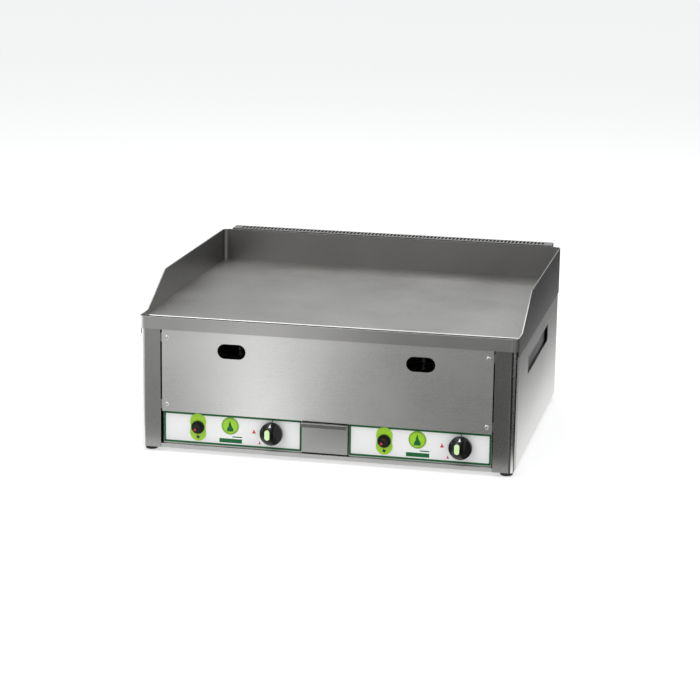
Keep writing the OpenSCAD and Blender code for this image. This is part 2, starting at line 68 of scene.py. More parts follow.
def corners(node: str) -> tuple[Vector, Vector]:
    """Give a frame node's lowest and highest corners in millimetres.

    Args:
        node: the name of the frame node.

    Returns:
        The two corners.
    """
    low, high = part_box(node)
    return Vector(low) / MM, Vector(high) / MM


class Wiring:
    """One material's node tree, and the few nodes each finish is made from."""

    def __init__(self, name: str) -> None:
        """Start an empty material with one shader.

        Args:
            name: the material's name.
        """
        self.material = bpy.data.materials.new(name)
        self.material.use_nodes = True
        self.tree = self.material.node_tree
        self.tree.nodes.clear()
        self.output = self.tree.nodes.new("ShaderNodeOutputMaterial")
        self.shader = self.tree.nodes.new("ShaderNodeBsdfPrincipled")
        self.tree.links.new(self.shader.outputs[0], self.output.inputs[0])
        self.place = self.tree.nodes.new("ShaderNodeTexCoord").outputs["Object"]

    def put(self, socket: str, value: object) -> None:
        """Set a shader socket, or link it when the value is another socket."""
        target = self.shader.inputs[socket]
        if isinstance(value, bpy.types.NodeSocket):
            self.tree.links.new(value, target)
        else:
            target.default_value = value

    def stretched(self, scale: Sequence[float], centre: Sequence[float] = (0, 0, 0)) -> bpy.types.NodeSocket:
        """Stretch the object's own coordinates about a centre.

        Args:
            scale: the pattern's repeats per metre along each axis.
            centre: the point that stays at the pattern's origin, in metres.

        Returns:
            The stretched coordinates.
        """
        mapping = self.tree.nodes.new("ShaderNodeMapping")
        mapping.inputs["Scale"].default_value = scale
        mapping.inputs["Location"].default_value = [-c * s for c, s in zip(centre, scale)]
        self.tree.links.new(self.place, mapping.inputs["Vector"])
        return mapping.outputs[0]

    def noise(self, scale: Sequence[float], detail: float = 3.0, rough: float = 0.55) -> bpy.types.NodeSocket:
        """Add a noise with its own stretch.

        Args:
            scale: the pattern's repeats per metre along each axis.
            detail: how many finer layers it has.
            rough: how strong the finer layers are.

        Returns:
            The noise's value, from 0 to 1.
        """
        node = self.tree.nodes.new("ShaderNodeTexNoise")
        node.inputs["Scale"].default_value = 1.0
        node.inputs["Detail"].default_value = detail
        node.inputs["Roughness"].default_value = rough
        self.tree.links.new(self.stretched(scale), node.inputs["Vector"])
        return node.outputs["Fac"]

    def between(self, value: bpy.types.NodeSocket, low: float, high: float,
                start: float = 0.3, stop: float = 0.7) -> bpy.types.NodeSocket:
        """Spread a noise value over a range.

        Args:
            value: the noise.
            low: the result at start.
            high: the result at stop.
            start: the noise value where the range starts.
            stop: the noise value where the range stops.

        Returns:
            The spread value.
        """
        node = self.tree.nodes.new("ShaderNodeMapRange")
        node.inputs["From Min"].default_value = start
        node.inputs["From Max"].default_value = stop
        node.inputs["To Min"].default_value = low
        node.inputs["To Max"].default_value = high
        self.tree.links.new(value, node.inputs["Value"])
        return node.outputs["Result"]

    def added(self, first: bpy.types.NodeSocket, second: bpy.types.NodeSocket) -> bpy.types.NodeSocket:
        """Add two values."""
        node = self.tree.nodes.new("ShaderNodeMath")
        node.operation = "ADD"
        self.tree.links.new(first, node.inputs[0])
        self.tree.links.new(second, node.inputs[1])
        return node.outputs[0]

    def ramp(self, value: bpy.types.NodeSocket,
             stops: Sequence[tuple[float, Sequence[float]]]) -> bpy.types.NodeSocket:
        """Turn a value into a colour.

        Args:
            value: the value, from 0 to 1.
            stops: the places and their colours.

        Returns:
            The colour.
        """
        node = self.tree.nodes.new("ShaderNodeValToRGB")
        band = node.color_ramp
        while len(band.elements) < len(stops):
            band.elements.new(0.5)
        for element, (place, colour) in zip(band.elements, stops):
            element.position = place
            element.color = (*colour, 1.0)
        self.tree.links.new(value, node.inputs["Fac"])
        return node.outputs["Color"]

    def blended(self, value: bpy.types.NodeSocket, first: object, second: object) -> bpy.types.NodeSocket:
        """Blend two colours.

        Args:
            value: 0 for the first and 1 for the second.
            first: a colour, or a colour socket.
            second: a colour, or a colour socket.

        Returns:
            The blended colour.
        """
        node = self.tree.nodes.new("ShaderNodeMix")
        node.data_type = "RGBA"
        self.tree.links.new(value, node.inputs["Factor"])
        for socket, colour in zip((node.inputs[6], node.inputs[7]), (first, second)):
            if isinstance(colour, bpy.types.NodeSocket):
                self.tree.links.new(colour, socket)
            else:
                socket.default_value = (*colour, 1.0)
        return node.outputs[2]

    def bump(self, height: bpy.types.NodeSocket, strength: float, depth: float) -> bpy.types.NodeSocket:
        """Raise the surface by a height.

        Args:
            height: the height value.
            strength: how much of the bump shows.
            depth: the bump's depth in metres.

        Returns:
            The bumped normal.
        """
        node = self.tree.nodes.new("ShaderNodeBump")
        node.inputs["Strength"].default_value = strength
        node.inputs["Distance"].default_value = depth
        self.tree.links.new(height, node.inputs["Height"])
        return node.outputs["Normal"]

    def pulled(self, way: Grain) -> bpy.types.NodeSocket:
        """Give the direction in which a brushed sheet pulls its reflections out.

        Args:
            way: the direction, square to the brushing.

        Returns:
            The tangent.
        """
        node = self.tree.nodes.new("ShaderNodeCombineXYZ")
        for socket, value in zip(node.inputs, way.value):
            socket.default_value = value
        return node.outputs[0]


@dataclass(frozen=True)
class Finish:
    """A surface finish, made into a material once."""

    name: str
    slot: str
    colour: tuple[float, float, float]
    roughness: float

    def material(self) -> bpy.types.Material:
        """Give this finish's material, made on first use."""
        return bpy.data.materials.get(self.name) or self.made()

    def made(self) -> bpy.types.Material:
        """Make the material."""
        raise NotImplementedError

    def shade(self, factor: float) -> tuple[float, ...]:
        """Give the colour made darker or lighter."""
        return tuple(min(1.0, c * factor) for c in self.colour)


@dataclass(frozen=True)
class Steel(Finish):
    """Brushed, ground or dull stainless steel."""

    grain: Grain = Grain.ACROSS
    pull: Grain = Grain.UPRIGHT
    smear: float = 0.6
    scratch: float = 0.03
    cloud: float = 0.04
    mottle: float = 0.03
    streak: float = 0.08

    def made(self) -> bpy.types.Material:
        """Make the material with grain, wipe marks and slow colour drift."""
        wiring = Wiring(self.name)
        along = [5.0 if axis else 1100.0 for axis in self.grain.value]
        fine = wiring.noise(along, 2.0, 0.7)
        broad = wiring.noise([2.0 if axis else 400.0 for axis in self.grain.value], 2.0)
        drift = wiring.noise((7.0, 7.0, 7.0), 4.0)
        speck = wiring.noise((90.0, 90.0, 90.0), 3.0)
        shift = wiring.added(wiring.between(drift, -self.cloud, self.cloud),
                             wiring.between(fine, -self.scratch, self.scratch))
        wiring.put("Roughness", wiring.between(
            wiring.added(shift, wiring.between(speck, -self.mottle, self.mottle)),
            self.roughness - 0.2, self.roughness + 0.2, -0.2, 0.2))
        tint = wiring.blended(wiring.between(drift, 0.0, 1.0), self.shade(0.93), self.shade(1.05))
        lined = wiring.blended(wiring.between(broad, 0.0, self.streak), tint, self.shade(1.15))
        wiring.put("Base Color", wiring.blended(
            wiring.between(speck, 0.0, self.mottle * 6), lined, self.shade(0.8)))
        wiring.put("Metallic", 1.0)
        wiring.put("Anisotropic", self.smear)
        wiring.put("Tangent", wiring.pulled(self.pull))
        wiring.put("Normal", wiring.bump(wiring.added(fine, broad), self.scratch, 0.00006))
        return wiring.material


@dataclass(frozen=True)
class HeatedSteel(Finish):
    """Steel that flame has tinted straw and blue."""

    def made(self) -> bpy.types.Material:
        """Make the material with bands of heat tint and a scaled bump."""
        wiring = Wiring(self.name)
        drift = wiring.noise((14.0, 9.0, 60.0), 4.0)
        scale = wiring.noise((600.0, 600.0, 600.0), 4.0)
        tint = wiring.ramp(drift, [(0.3, self.colour), (0.45, (0.42, 0.33, 0.2)), (0.55, (0.3, 0.22, 0.24)),
                                   (0.68, (0.22, 0.25, 0.33)), (0.85, self.shade(0.8))])
        wiring.put("Base Color", wiring.blended(wiring.between(scale, 0.0, 0.5), tint, self.shade(0.6)))
        wiring.put("Roughness", wiring.between(scale, self.roughness - 0.1, self.roughness + 0.12))
        wiring.put("Metallic", 1.0)
        wiring.put("Normal", wiring.bump(scale, 0.25, 0.0001))
        return wiring.material


@dataclass(frozen=True)
class Turned(Finish):
    """Brass, copper or plated parts with machining marks."""

    marks: float = 900.0
    stain: tuple[float, float, float] = (0.25, 0.16, 0.08)

    def made(self) -> bpy.types.Material:
        """Make the material with tool marks and tarnish."""
        wiring = Wiring(self.name)
        lathe = wiring.noise((120.0, self.marks, 120.0), 2.0)
        tarnish = wiring.noise((55.0, 55.0, 55.0), 5.0, 0.65)
        wiring.put("Base Color", wiring.blended(
            wiring.between(tarnish, 0.0, 0.55, 0.45, 0.75), self.colour, self.stain))
        wiring.put("Roughness", wiring.added(
            wiring.between(tarnish, self.roughness, self.roughness + 0.2), wiring.between(lathe, -0.04, 0.06)))
        wiring.put("Metallic", 1.0)
        wiring.put("Normal", wiring.bump(lathe, 0.15, 0.0001))
        return wiring.material


@dataclass(frozen=True)
class Plastic(Finish):
    """Moulded plastic or rubber with a fine skin."""

    skin: float = 0.12
    skin_scale: float = 1800.0
    dust: float = 0.25
    coat: float = 0.0
    gloss: float = 0.5

    def made(self) -> bpy.types.Material:
        """Make the material with moulded skin, finger marks and faint dust."""
        wiring = Wiring(self.name)
        skin = wiring.noise((self.skin_scale,) * 3, 2.0)
        touch = wiring.noise((70.0, 70.0, 70.0), 4.0)
        wiring.put("Base Color", wiring.blended(
            wiring.between(touch, 0.0, self.dust, 0.5, 0.8), self.colour,
            tuple(min(1.0, c * 0.85 + 0.03) for c in self.colour)))
        wiring.put("Roughness", wiring.between(touch, self.roughness - 0.04, self.roughness + 0.1))
        wiring.put("Specular IOR Level", self.gloss)
        wiring.put("Coat Weight", self.coat)
        wiring.put("Coat Roughness", 0.08)
        wiring.put("Normal", wiring.bump(skin, self.skin, 0.00005))
        return wiring.material


class Wardrobe:
    """Every finish of the griddle, and the slots that carry them."""

    PLATE = Steel("ground_plate", "plate_steel", (0.375, 0.370, 0.357), 0.42, Grain.ACROSS, Grain.DEEP, 0.25,
                  0.03, 0.04, 0.04, 0.03)
    # Painted highlight: a near-white copy of the plate steel for the front chamfer, standing in for the light
    # its edge catches.
    PLATE_EDGE_HIGHLIGHT = Steel("painted_highlight_plate_edge", "plate_steel", (0.80, 0.795, 0.78), 0.32, Grain.ACROSS,
                       Grain.DEEP, 0.3)
    TRAY = Steel("satin_tray", "satin_steel", (0.30, 0.296, 0.288), 0.38, Grain.ACROSS, Grain.DEEP, 0.4)
    GUARD = Steel("satin_guard", "satin_steel", (0.225, 0.221, 0.214), 0.38, Grain.DEEP, Grain.UPRIGHT, 0.4,
                  0.015, 0.03, 0.02)
    # Painted shade: a near-black copy of the guard steel for the guards' outer side walls.
    GUARD_OUTSIDE_SHADE = Steel("painted_shade_guard_outside", "satin_steel", (0.055, 0.054, 0.052), 0.24, Grain.DEEP,
                          Grain.UPRIGHT, 0.4, 0.01, 0.02, 0.01)
    FASCIA = Steel("satin_fascia", "satin_steel", (0.43, 0.426, 0.417), 0.30, Grain.ACROSS, Grain.UPRIGHT, 0.5,
                   0.01, 0.02, 0.01, 0.03)
    BODY = Steel("brushed_panel", "brushed_body", (0.66, 0.658, 0.65), 0.28, Grain.ACROSS, Grain.UPRIGHT, 0.55,
                 0.014, 0.015, 0.006, 0.08)
    FRONT = Steel("brushed_drawer", "brushed_body", (0.40, 0.398, 0.392), 0.34, Grain.ACROSS,
                  Grain.UPRIGHT, 0.6, 0.025, 0.03, 0.02)
    # Painted shade: a dark copy of the drawer steel for the front face of the drawer's lip.
    LIP_SHADE = Steel("painted_shade_lip", "satin_steel", (0.17, 0.168, 0.163), 0.34, Grain.ACROSS, Grain.UPRIGHT, 0.6,
                0.02, 0.03, 0.02)
    PAN = Steel("brushed_pan", "brushed_body", (0.48, 0.478, 0.471), 0.36, Grain.ACROSS, Grain.UPRIGHT, 0.4,
                0.02, 0.03, 0.02)
    POST = Steel("brushed_post", "satin_steel", (0.34, 0.338, 0.333), 0.27, Grain.UPRIGHT, Grain.UPRIGHT, 0.5,
                 0.006, 0.01, 0.01, 0.01)
    # Painted shade: the right post is a darker copy of the left post's steel.
    FAR_POST_SHADE = Steel("painted_shade_far_post", "satin_steel", (0.27, 0.268, 0.263), 0.27, Grain.UPRIGHT,
                     Grain.UPRIGHT, 0.5, 0.006, 0.01, 0.01, 0.01)
    # Painted highlight and painted shade: bright and dark bands on the rounded bends of the posts and the
    # fascia, standing in for reflections.
    BEND_HIGHLIGHT = Steel("painted_highlight_bend", "satin_steel", (0.86, 0.855, 0.84), 0.24, Grain.UPRIGHT,
                       Grain.UPRIGHT, 0.3, 0.005, 0.01, 0.01, 0.01)
    BEND_DARK = Steel("shaded_bend", "satin_steel", (0.09, 0.089, 0.086), 0.26, Grain.UPRIGHT,
                      Grain.UPRIGHT, 0.3, 0.005, 0.01, 0.01, 0.01)
    # Painted highlight: a light copy of the guard steel for the guards' sloped top edges.
    GUARD_EDGE_HIGHLIGHT = Steel("painted_highlight_guard_edge", "satin_steel", (0.72, 0.715, 0.70), 0.34, Grain.DEEP,
                       Grain.UPRIGHT, 0.2)
    # Painted light: the heat shield seen through the side window is a lighter copy of the inner steel.
    SHIELD_LIT = Steel("painted_light_shield", "inner_steel", (0.52, 0.518, 0.51), 0.5, Grain.DEEP, Grain.UPRIGHT, 0.2,
                   0.05, 0.05, 0.03)
    SIDE = Steel("brushed_side", "brushed_body", (0.70, 0.698, 0.69), 0.30, Grain.DEEP, Grain.UPRIGHT, 0.5,
                 0.01, 0.02, 0.01, 0.04)
    INNER = Steel("dull_inner", "inner_steel", (0.30, 0.298, 0.292), 0.5, Grain.DEEP, Grain.UPRIGHT, 0.2,
                  0.08, 0.08, 0.05)
    # Painted shade: near-black steel for the faces inside the flue and the plate's front face, where shade
    # falls.
    PAINTED_SHADE = Steel("painted_shade_recess", "satin_steel", (0.05, 0.048, 0.045), 0.6, Grain.DEEP, Grain.UPRIGHT, 0.0,
                  0.05, 0.08, 0.08)
    SCREW = Turned("plated_screw", "screw_steel", (0.70, 0.70, 0.69), 0.2, 1500.0, (0.5, 0.5, 0.48))
    FILM = Plastic("white_film", "printed_film", (0.80, 0.80, 0.795), 0.32, 0.05, 1200.0, 0.15)
    GREEN_INK = Plastic("green_ink", "printed_film", (0.003, 0.115, 0.03), 0.45, 0.04, 1200.0, 0.05, 0.0, 0.25)
    RED_INK = Plastic("red_ink", "printed_film", (0.58, 0.015, 0.02), 0.36, 0.04, 1200.0, 0.1)
    BLACK_INK = Plastic("black_ink", "printed_film", (0.02, 0.02, 0.02), 0.4, 0.04, 1200.0, 0.1)
    WHITE_INK = Plastic("white_ink", "knob_plastic", (0.85, 0.86, 0.86), 0.4, 0.04, 1200.0, 0.1)
    LIME = Plastic("lime_plate", "lime_plastic", (0.30, 0.58, 0.006), 0.3, 0.05, 1500.0, 0.1, 0.2)
    # Painted shade: a darker lime for the badge's rim ring, standing in for the dome's shading.
    LIME_RIM_SHADE = Plastic("painted_shade_lime_rim", "lime_plastic", (0.17, 0.38, 0.004), 0.3, 0.05, 1500.0, 0.1, 0.2)
    BLACK = Plastic("black_moulding", "black_plastic", (0.008, 0.008, 0.008), 0.3, 0.08, 1800.0, 0.2, 0.0, 0.22)
    KNOB = Plastic("knob_gloss", "knob_plastic", (0.005, 0.005, 0.0055), 0.2, 0.04, 1800.0, 0.15, 0.0, 0.28)
    PALE = Plastic("pale_insert", "pale_green_plastic", (0.62, 0.84, 0.42), 0.3, 0.05, 1500.0, 0.1, 0.3)
    BRASS = Turned("machined_brass", "brass_parts", (0.72, 0.54, 0.24), 0.28)
    PIPE = Turned("zinc_pipe", "pipe_steel", (0.50, 0.50, 0.48), 0.4, 300.0, (0.34, 0.33, 0.3))
    COPPER = Turned("drawn_copper", "copper_pipe", (0.75, 0.39, 0.24), 0.3, 300.0, (0.3, 0.14, 0.08))
    BURNER = HeatedSteel("heated_burner", "burner_steel", (0.38, 0.36, 0.34), 0.42)
    CERAMIC = Plastic("glazed_ceramic", "electrode_ceramic", (0.80, 0.77, 0.68), 0.25, 0.08, 900.0, 0.3, 0.4)
    LEAD = Plastic("lead_rubber", "lead_rubber", (0.03, 0.03, 0.03), 0.5, 0.2, 900.0, 0.4)
    FOOT = Plastic("foot_rubber", "foot_rubber", (0.018, 0.018, 0.018), 0.6, 0.3, 700.0, 0.5)

    @classmethod
    def fitted(cls, node: str) -> Finish:
        """Choose the finish of a frame node.

        Args:
            node: the name of the frame node.

        Returns:
            Its finish.
        """
        words = (
            ("cooking_plate", cls.PLATE), ("splash_guard", cls.GUARD), ("front_fascia", cls.FASCIA),
            ("grease_trough", cls.TRAY), ("left_front_post", cls.POST), ("front_post", cls.FAR_POST_SHADE),
            ("side_panel", cls.SIDE), ("flue", cls.TRAY), ("panel_screws", cls.SCREW),
            ("front_panel", cls.BODY),
            ("panel_overlay", cls.FILM), ("control_panel", cls.BODY), ("igniter_plate", cls.LIME),
            ("piezo", cls.BLACK), ("igniter_button", cls.BLACK), ("knob_insert", cls.PALE), ("knob", cls.KNOB),
            ("valve_stem", cls.BRASS), ("collar", cls.BRASS), ("gas_valve", cls.BRASS), ("injector", cls.BRASS),
            ("manifold", cls.PIPE), ("supply_pipe", cls.PIPE), ("inlet", cls.BRASS), ("burner_pipe", cls.PIPE),
            ("thermocouple", cls.COPPER), ("electrode", cls.CERAMIC), ("lead", cls.LEAD), ("feet", cls.FOOT),
            ("bracket", cls.INNER), ("burner", cls.BURNER), ("heat_shield", cls.SHIELD_LIT),
            ("back_panel", cls.SIDE), ("drawer_front", cls.FRONT), ("runner", cls.INNER),
            ("grease_drawer", cls.INNER), ("base_pan", cls.PAN),
        )
        return next(finish for word, finish in words if word in node)


class Bench:
    """Modelling steps with the ordinary mesh tools, in millimetres."""

    @staticmethod
    def clear() -> None:
        """Leave edit mode and deselect everything."""
        if bpy.context.mode != "OBJECT":
            bpy.ops.object.mode_set(mode="OBJECT")
        bpy.ops.object.select_all(action="DESELECT")

    @staticmethod
    def take(piece: bpy.types.Object) -> None:
        """Select one piece and make it active."""
        Bench.clear()
        piece.select_set(True)
        bpy.context.view_layer.objects.active = piece

    @staticmethod
    def named(name: str) -> bpy.types.Object:
        """Name the piece just added."""
        piece = bpy.context.active_object
        piece.name = name
        piece.data.name = name
        return piece

    @staticmethod
    def block(name: str, low: Sequence[float], high: Sequence[float]) -> bpy.types.Object:
        """Add a block between two corners.

        Args:
            name: the piece's name.
            low: its lowest corner.
            high: its highest corner.

        Returns:
            The block.
        """
        Bench.clear()
        middle = [(a + b) / 2 * MM for a, b in zip(low, high)]
        bpy.ops.mesh.primitive_cube_add(size=1.0, location=middle)
        piece = Bench.named(name)
        piece.scale = [(b - a) * MM for a, b in zip(low, high)]
        bpy.ops.object.transform_apply(location=True, rotation=True, scale=True)
        return piece

    @staticmethod
    def ball(name: str, centre: Sequence[float], radii: Sequence[float]) -> bpy.types.Object:
        """Add a ball or an egg shape.

        Args:
            name: the piece's name.
            centre: its middle.
            radii: its three radii.

        Returns:
            The ball.
        """
        Bench.clear()
        bpy.ops.mesh.primitive_uv_sphere_add(segments=64, ring_count=40, radius=1.0,
                                             location=[c * MM for c in centre])
        piece = Bench.named(name)
        piece.scale = [r * MM for r in radii]
        bpy.ops.object.transform_apply(location=True, rotation=True, scale=True)
        return piece

    @staticmethod
    def pick(piece: bpy.types.Object, kind: str, test: Callable[[Vector, Vector], bool]) -> None:
        """Enter edit mode with some faces, edges or points selected.

        Args:
            piece: the piece to work on.
            kind: FACE, EDGE or VERT.
            test: takes a middle in millimetres and a normal or direction, and says if it is selected.
        """
        Bench.take(piece)
        mesh = piece.data
        for group in (mesh.vertices, mesh.edges, mesh.polygons):
            group.foreach_set("select", [False] * len(group))
        bpy.context.tool_settings.mesh_select_mode = (kind == "VERT", kind == "EDGE", kind == "FACE")
        if kind == "FACE":
            for face in mesh.polygons:
                face.select = test(face.center / MM, face.normal)
        elif kind == "EDGE":
            for edge in mesh.edges:
                first, second = (mesh.vertices[i].co for i in edge.vertices)
                edge.select = test((first + second) / 2 / MM, (second - first).normalized())
        else:
            for point in mesh.vertices:
                point.select = test(point.co / MM, point.normal)
        bpy.ops.object.mode_set(mode="EDIT")

    @staticmethod
    def turned(name: str, x: float, z: float, profile: Sequence[tuple[float, float]],
               sides: int = 64) -> bpy.types.Object:
        """Build a round piece that faces the front, ring by ring.

        Args:
            name: the piece's name.
            x: its axis.
            z: its axis.
            profile: radius and y of each ring, from the back to the front.
            sides: how many sides each ring has.

        Returns:
            The closed piece.
        """
        Bench.clear()
        radius, y = profile[0]
        bpy.ops.mesh.primitive_circle_add(vertices=sides, radius=radius * MM, fill_type="NGON",
                                          location=(x * MM, y * MM, z * MM), rotation=(math.pi / 2, 0, 0))
        piece = Bench.named(name)
        bpy.ops.object.transform_apply(location=True, rotation=True, scale=True)
        Bench.pick(piece, "FACE", lambda middle, normal: True)
        for next_radius, next_y in profile[1:]:
            bpy.ops.mesh.extrude_region_move(TRANSFORM_OT_translate={"value": (0, (next_y - y) * MM, 0)})
            ratio = next_radius / radius
            bpy.ops.transform.resize(value=(ratio, 1.0, ratio), center_override=(x * MM, next_y * MM, z * MM))
            radius, y = next_radius, next_y
        return Bench.closed(piece)

    @staticmethod
    def pill(name: str, centre: Sequence[float], width: float, height: float,
             back: float, front: float, sides: int = 40) -> bpy.types.Object:
        """Build an upright pill-shaped plate that faces the front.

        Args:
            name: the piece's name.
            centre: its x and z.
            width: its width.
            height: its height.
            back: the y of its back.
            front: the y of its front.
            sides: how many sides its ends have together.

        Returns:
            The closed piece.
        """
        Bench.clear()
        x, z = centre
        bpy.ops.mesh.primitive_circle_add(
            vertices=sides, radius=width / 2 * MM, fill_type="NGON", location=(x * MM, back * MM, z * MM),
            rotation=(math.pi / 2, math.pi / sides, 0))
        piece = Bench.named(name)
        bpy.ops.object.transform_apply(location=True, rotation=True, scale=True)
        for sign in (1, -1):
            Bench.pick(piece, "VERT", lambda place, normal: (place.z - z) * sign > 0)
            bpy.ops.transform.translate(value=(0, 0, sign * (height - width) / 2 * MM))
        Bench.pick(piece, "FACE", lambda middle, normal: True)
        bpy.ops.mesh.extrude_region_move(TRANSFORM_OT_translate={"value": (0, (front - back) * MM, 0)})
        return Bench.closed(piece)

    @staticmethod
    def outline(name: str, points: Sequence[tuple[float, float]], back: float,
                front: float) -> bpy.types.Object:
        """Build a flat figure that faces the front, from one corner extruded round its outline.

        Args:
            name: the piece's name.
            points: its corners as x and z.
            back: the y of its back.
            front: the y of its front.

        Returns:
            The closed piece.
        """
        Bench.clear()
        x, z = points[0]
        bpy.ops.mesh.primitive_plane_add(size=MM, location=(x * MM, back * MM, z * MM))
        piece = Bench.named(name)
        bpy.ops.object.transform_apply(location=True, rotation=True, scale=True)
        Bench.pick(piece, "VERT", lambda place, normal: True)
        bpy.ops.mesh.merge(type="CENTER")
        for (x0, z0), (x1, z1) in zip(points, points[1:]):
            step = ((x1 - x0) * MM, 0, (z1 - z0) * MM)
            bpy.ops.mesh.extrude_region_move(TRANSFORM_OT_translate={"value": step})
        bpy.ops.mesh.select_all(action="SELECT")
        bpy.ops.mesh.edge_face_add()
        bpy.ops.mesh.extrude_region_move(TRANSFORM_OT_translate={"value": (0, (front - back) * MM, 0)})
        return Bench.closed(piece)

    @staticmethod
    def closed(piece: bpy.types.Object) -> bpy.types.Object:
        """Merge doubles, turn the faces outwards and leave edit mode."""
        Bench.pick(piece, "VERT", lambda place, normal: True)
        bpy.ops.mesh.remove_doubles(threshold=2e-7)
        bpy.ops.mesh.normals_make_consistent(inside=False)
        bpy.ops.object.mode_set(mode="OBJECT")
        return piece

    @staticmethod
    def rounded(piece: bpy.types.Object, width: float, segments: int = 2,
                angle: float = 30.0) -> bpy.types.Object:
        """Round a piece's edges with an applied Bevel modifier.

        Args:
            piece: the piece.
            width: how far the rounding reaches.
            segments: how many facets it has.
            angle: the least angle of an edge that is rounded, in degrees.

        Returns:
            The same piece.
        """
        Bench.take(piece)
        bevel = piece.modifiers.new("edges", "BEVEL")
        bevel.width = width * MM
        bevel.segments = segments
        bevel.limit_method = "ANGLE"
        bevel.angle_limit = math.radians(angle)
        bpy.ops.object.modifier_apply(modifier=bevel.name)
        return Bench.flattened(Bench.smooth(piece, 50.0))

    @staticmethod
    def flattened(piece: bpy.types.Object) -> bpy.types.Object:
        """Keep wide flat faces flat in the shading, with an applied Weighted Normal modifier."""
        Bench.take(piece)
        weighted = piece.modifiers.new("normals", "WEIGHTED_NORMAL")
        weighted.keep_sharp = True
        weighted.weight = 90
        bpy.ops.object.modifier_apply(modifier=weighted.name)
        return piece

    @staticmethod
    def smooth(piece: bpy.types.Object, angle: float = 35.0) -> bpy.types.Object:
        """Shade a piece smooth across its shallow edges."""
        Bench.take(piece)
        bpy.ops.object.shade_smooth_by_angle(angle=math.radians(angle))
        return piece

    @staticmethod
    def cut(piece: bpy.types.Object, tool: bpy.types.Object, operation: str = "DIFFERENCE") -> bpy.types.Object:
        """Cut a piece with another, which is then removed.

        Args:
            piece: the piece that stays.
            tool: the shape that cuts.
            operation: DIFFERENCE, INTERSECT or UNION.

        Returns:
            The cut piece.
        """
        Bench.take(piece)
        boolean = piece.modifiers.new("cut", "BOOLEAN")
        boolean.object = tool
        boolean.operation = operation
        boolean.solver = "EXACT"
        bpy.ops.object.modifier_apply(modifier=boolean.name)
        bpy.data.objects.remove(tool)
        return piece

    @staticmethod
    def from_node(node: str, name: str) -> bpy.types.Object:
        """Copy a frame node's mesh and merge its triangles into whole faces.

        Args:
            node: the frame node.
            name: the new piece's name.

        Returns:
            The merged copy.
        """
        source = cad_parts[node]
        piece = bpy.data.objects.new(name, source.data.copy())
        piece.data.materials.clear()
        bpy.context.scene.collection.objects.link(piece)
        Bench.take(piece)
        if piece.data.has_custom_normals:
            bpy.ops.mesh.customdata_custom_splitnormals_clear()
        Bench.pick(piece, "VERT", lambda place, normal: True)
        bpy.ops.mesh.remove_doubles(threshold=2e-6)
        bpy.ops.mesh.dissolve_limited(angle_limit=math.radians(0.6))
        bpy.ops.object.mode_set(mode="OBJECT")
        return piece

    @staticmethod
    def dress(piece: bpy.types.Object, finish: Finish, body: str, *nodes: str) -> bpy.types.Object:
        """Give a piece its finish and its body, and stand it in for frame nodes.

        Args:
            piece: the piece.
            finish: its finish.
            body: the body it rides on.
            nodes: the frame nodes that it replaces, if any.

        Returns:
            The same piece.
        """
        piece.data.materials.clear()
        piece.data.materials.append(finish.material())
        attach(piece, body)
        if nodes:
            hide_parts(*nodes)
        LOG.info("%s on %s: %d faces", piece.name, body, len(piece.data.polygons))
        return piece


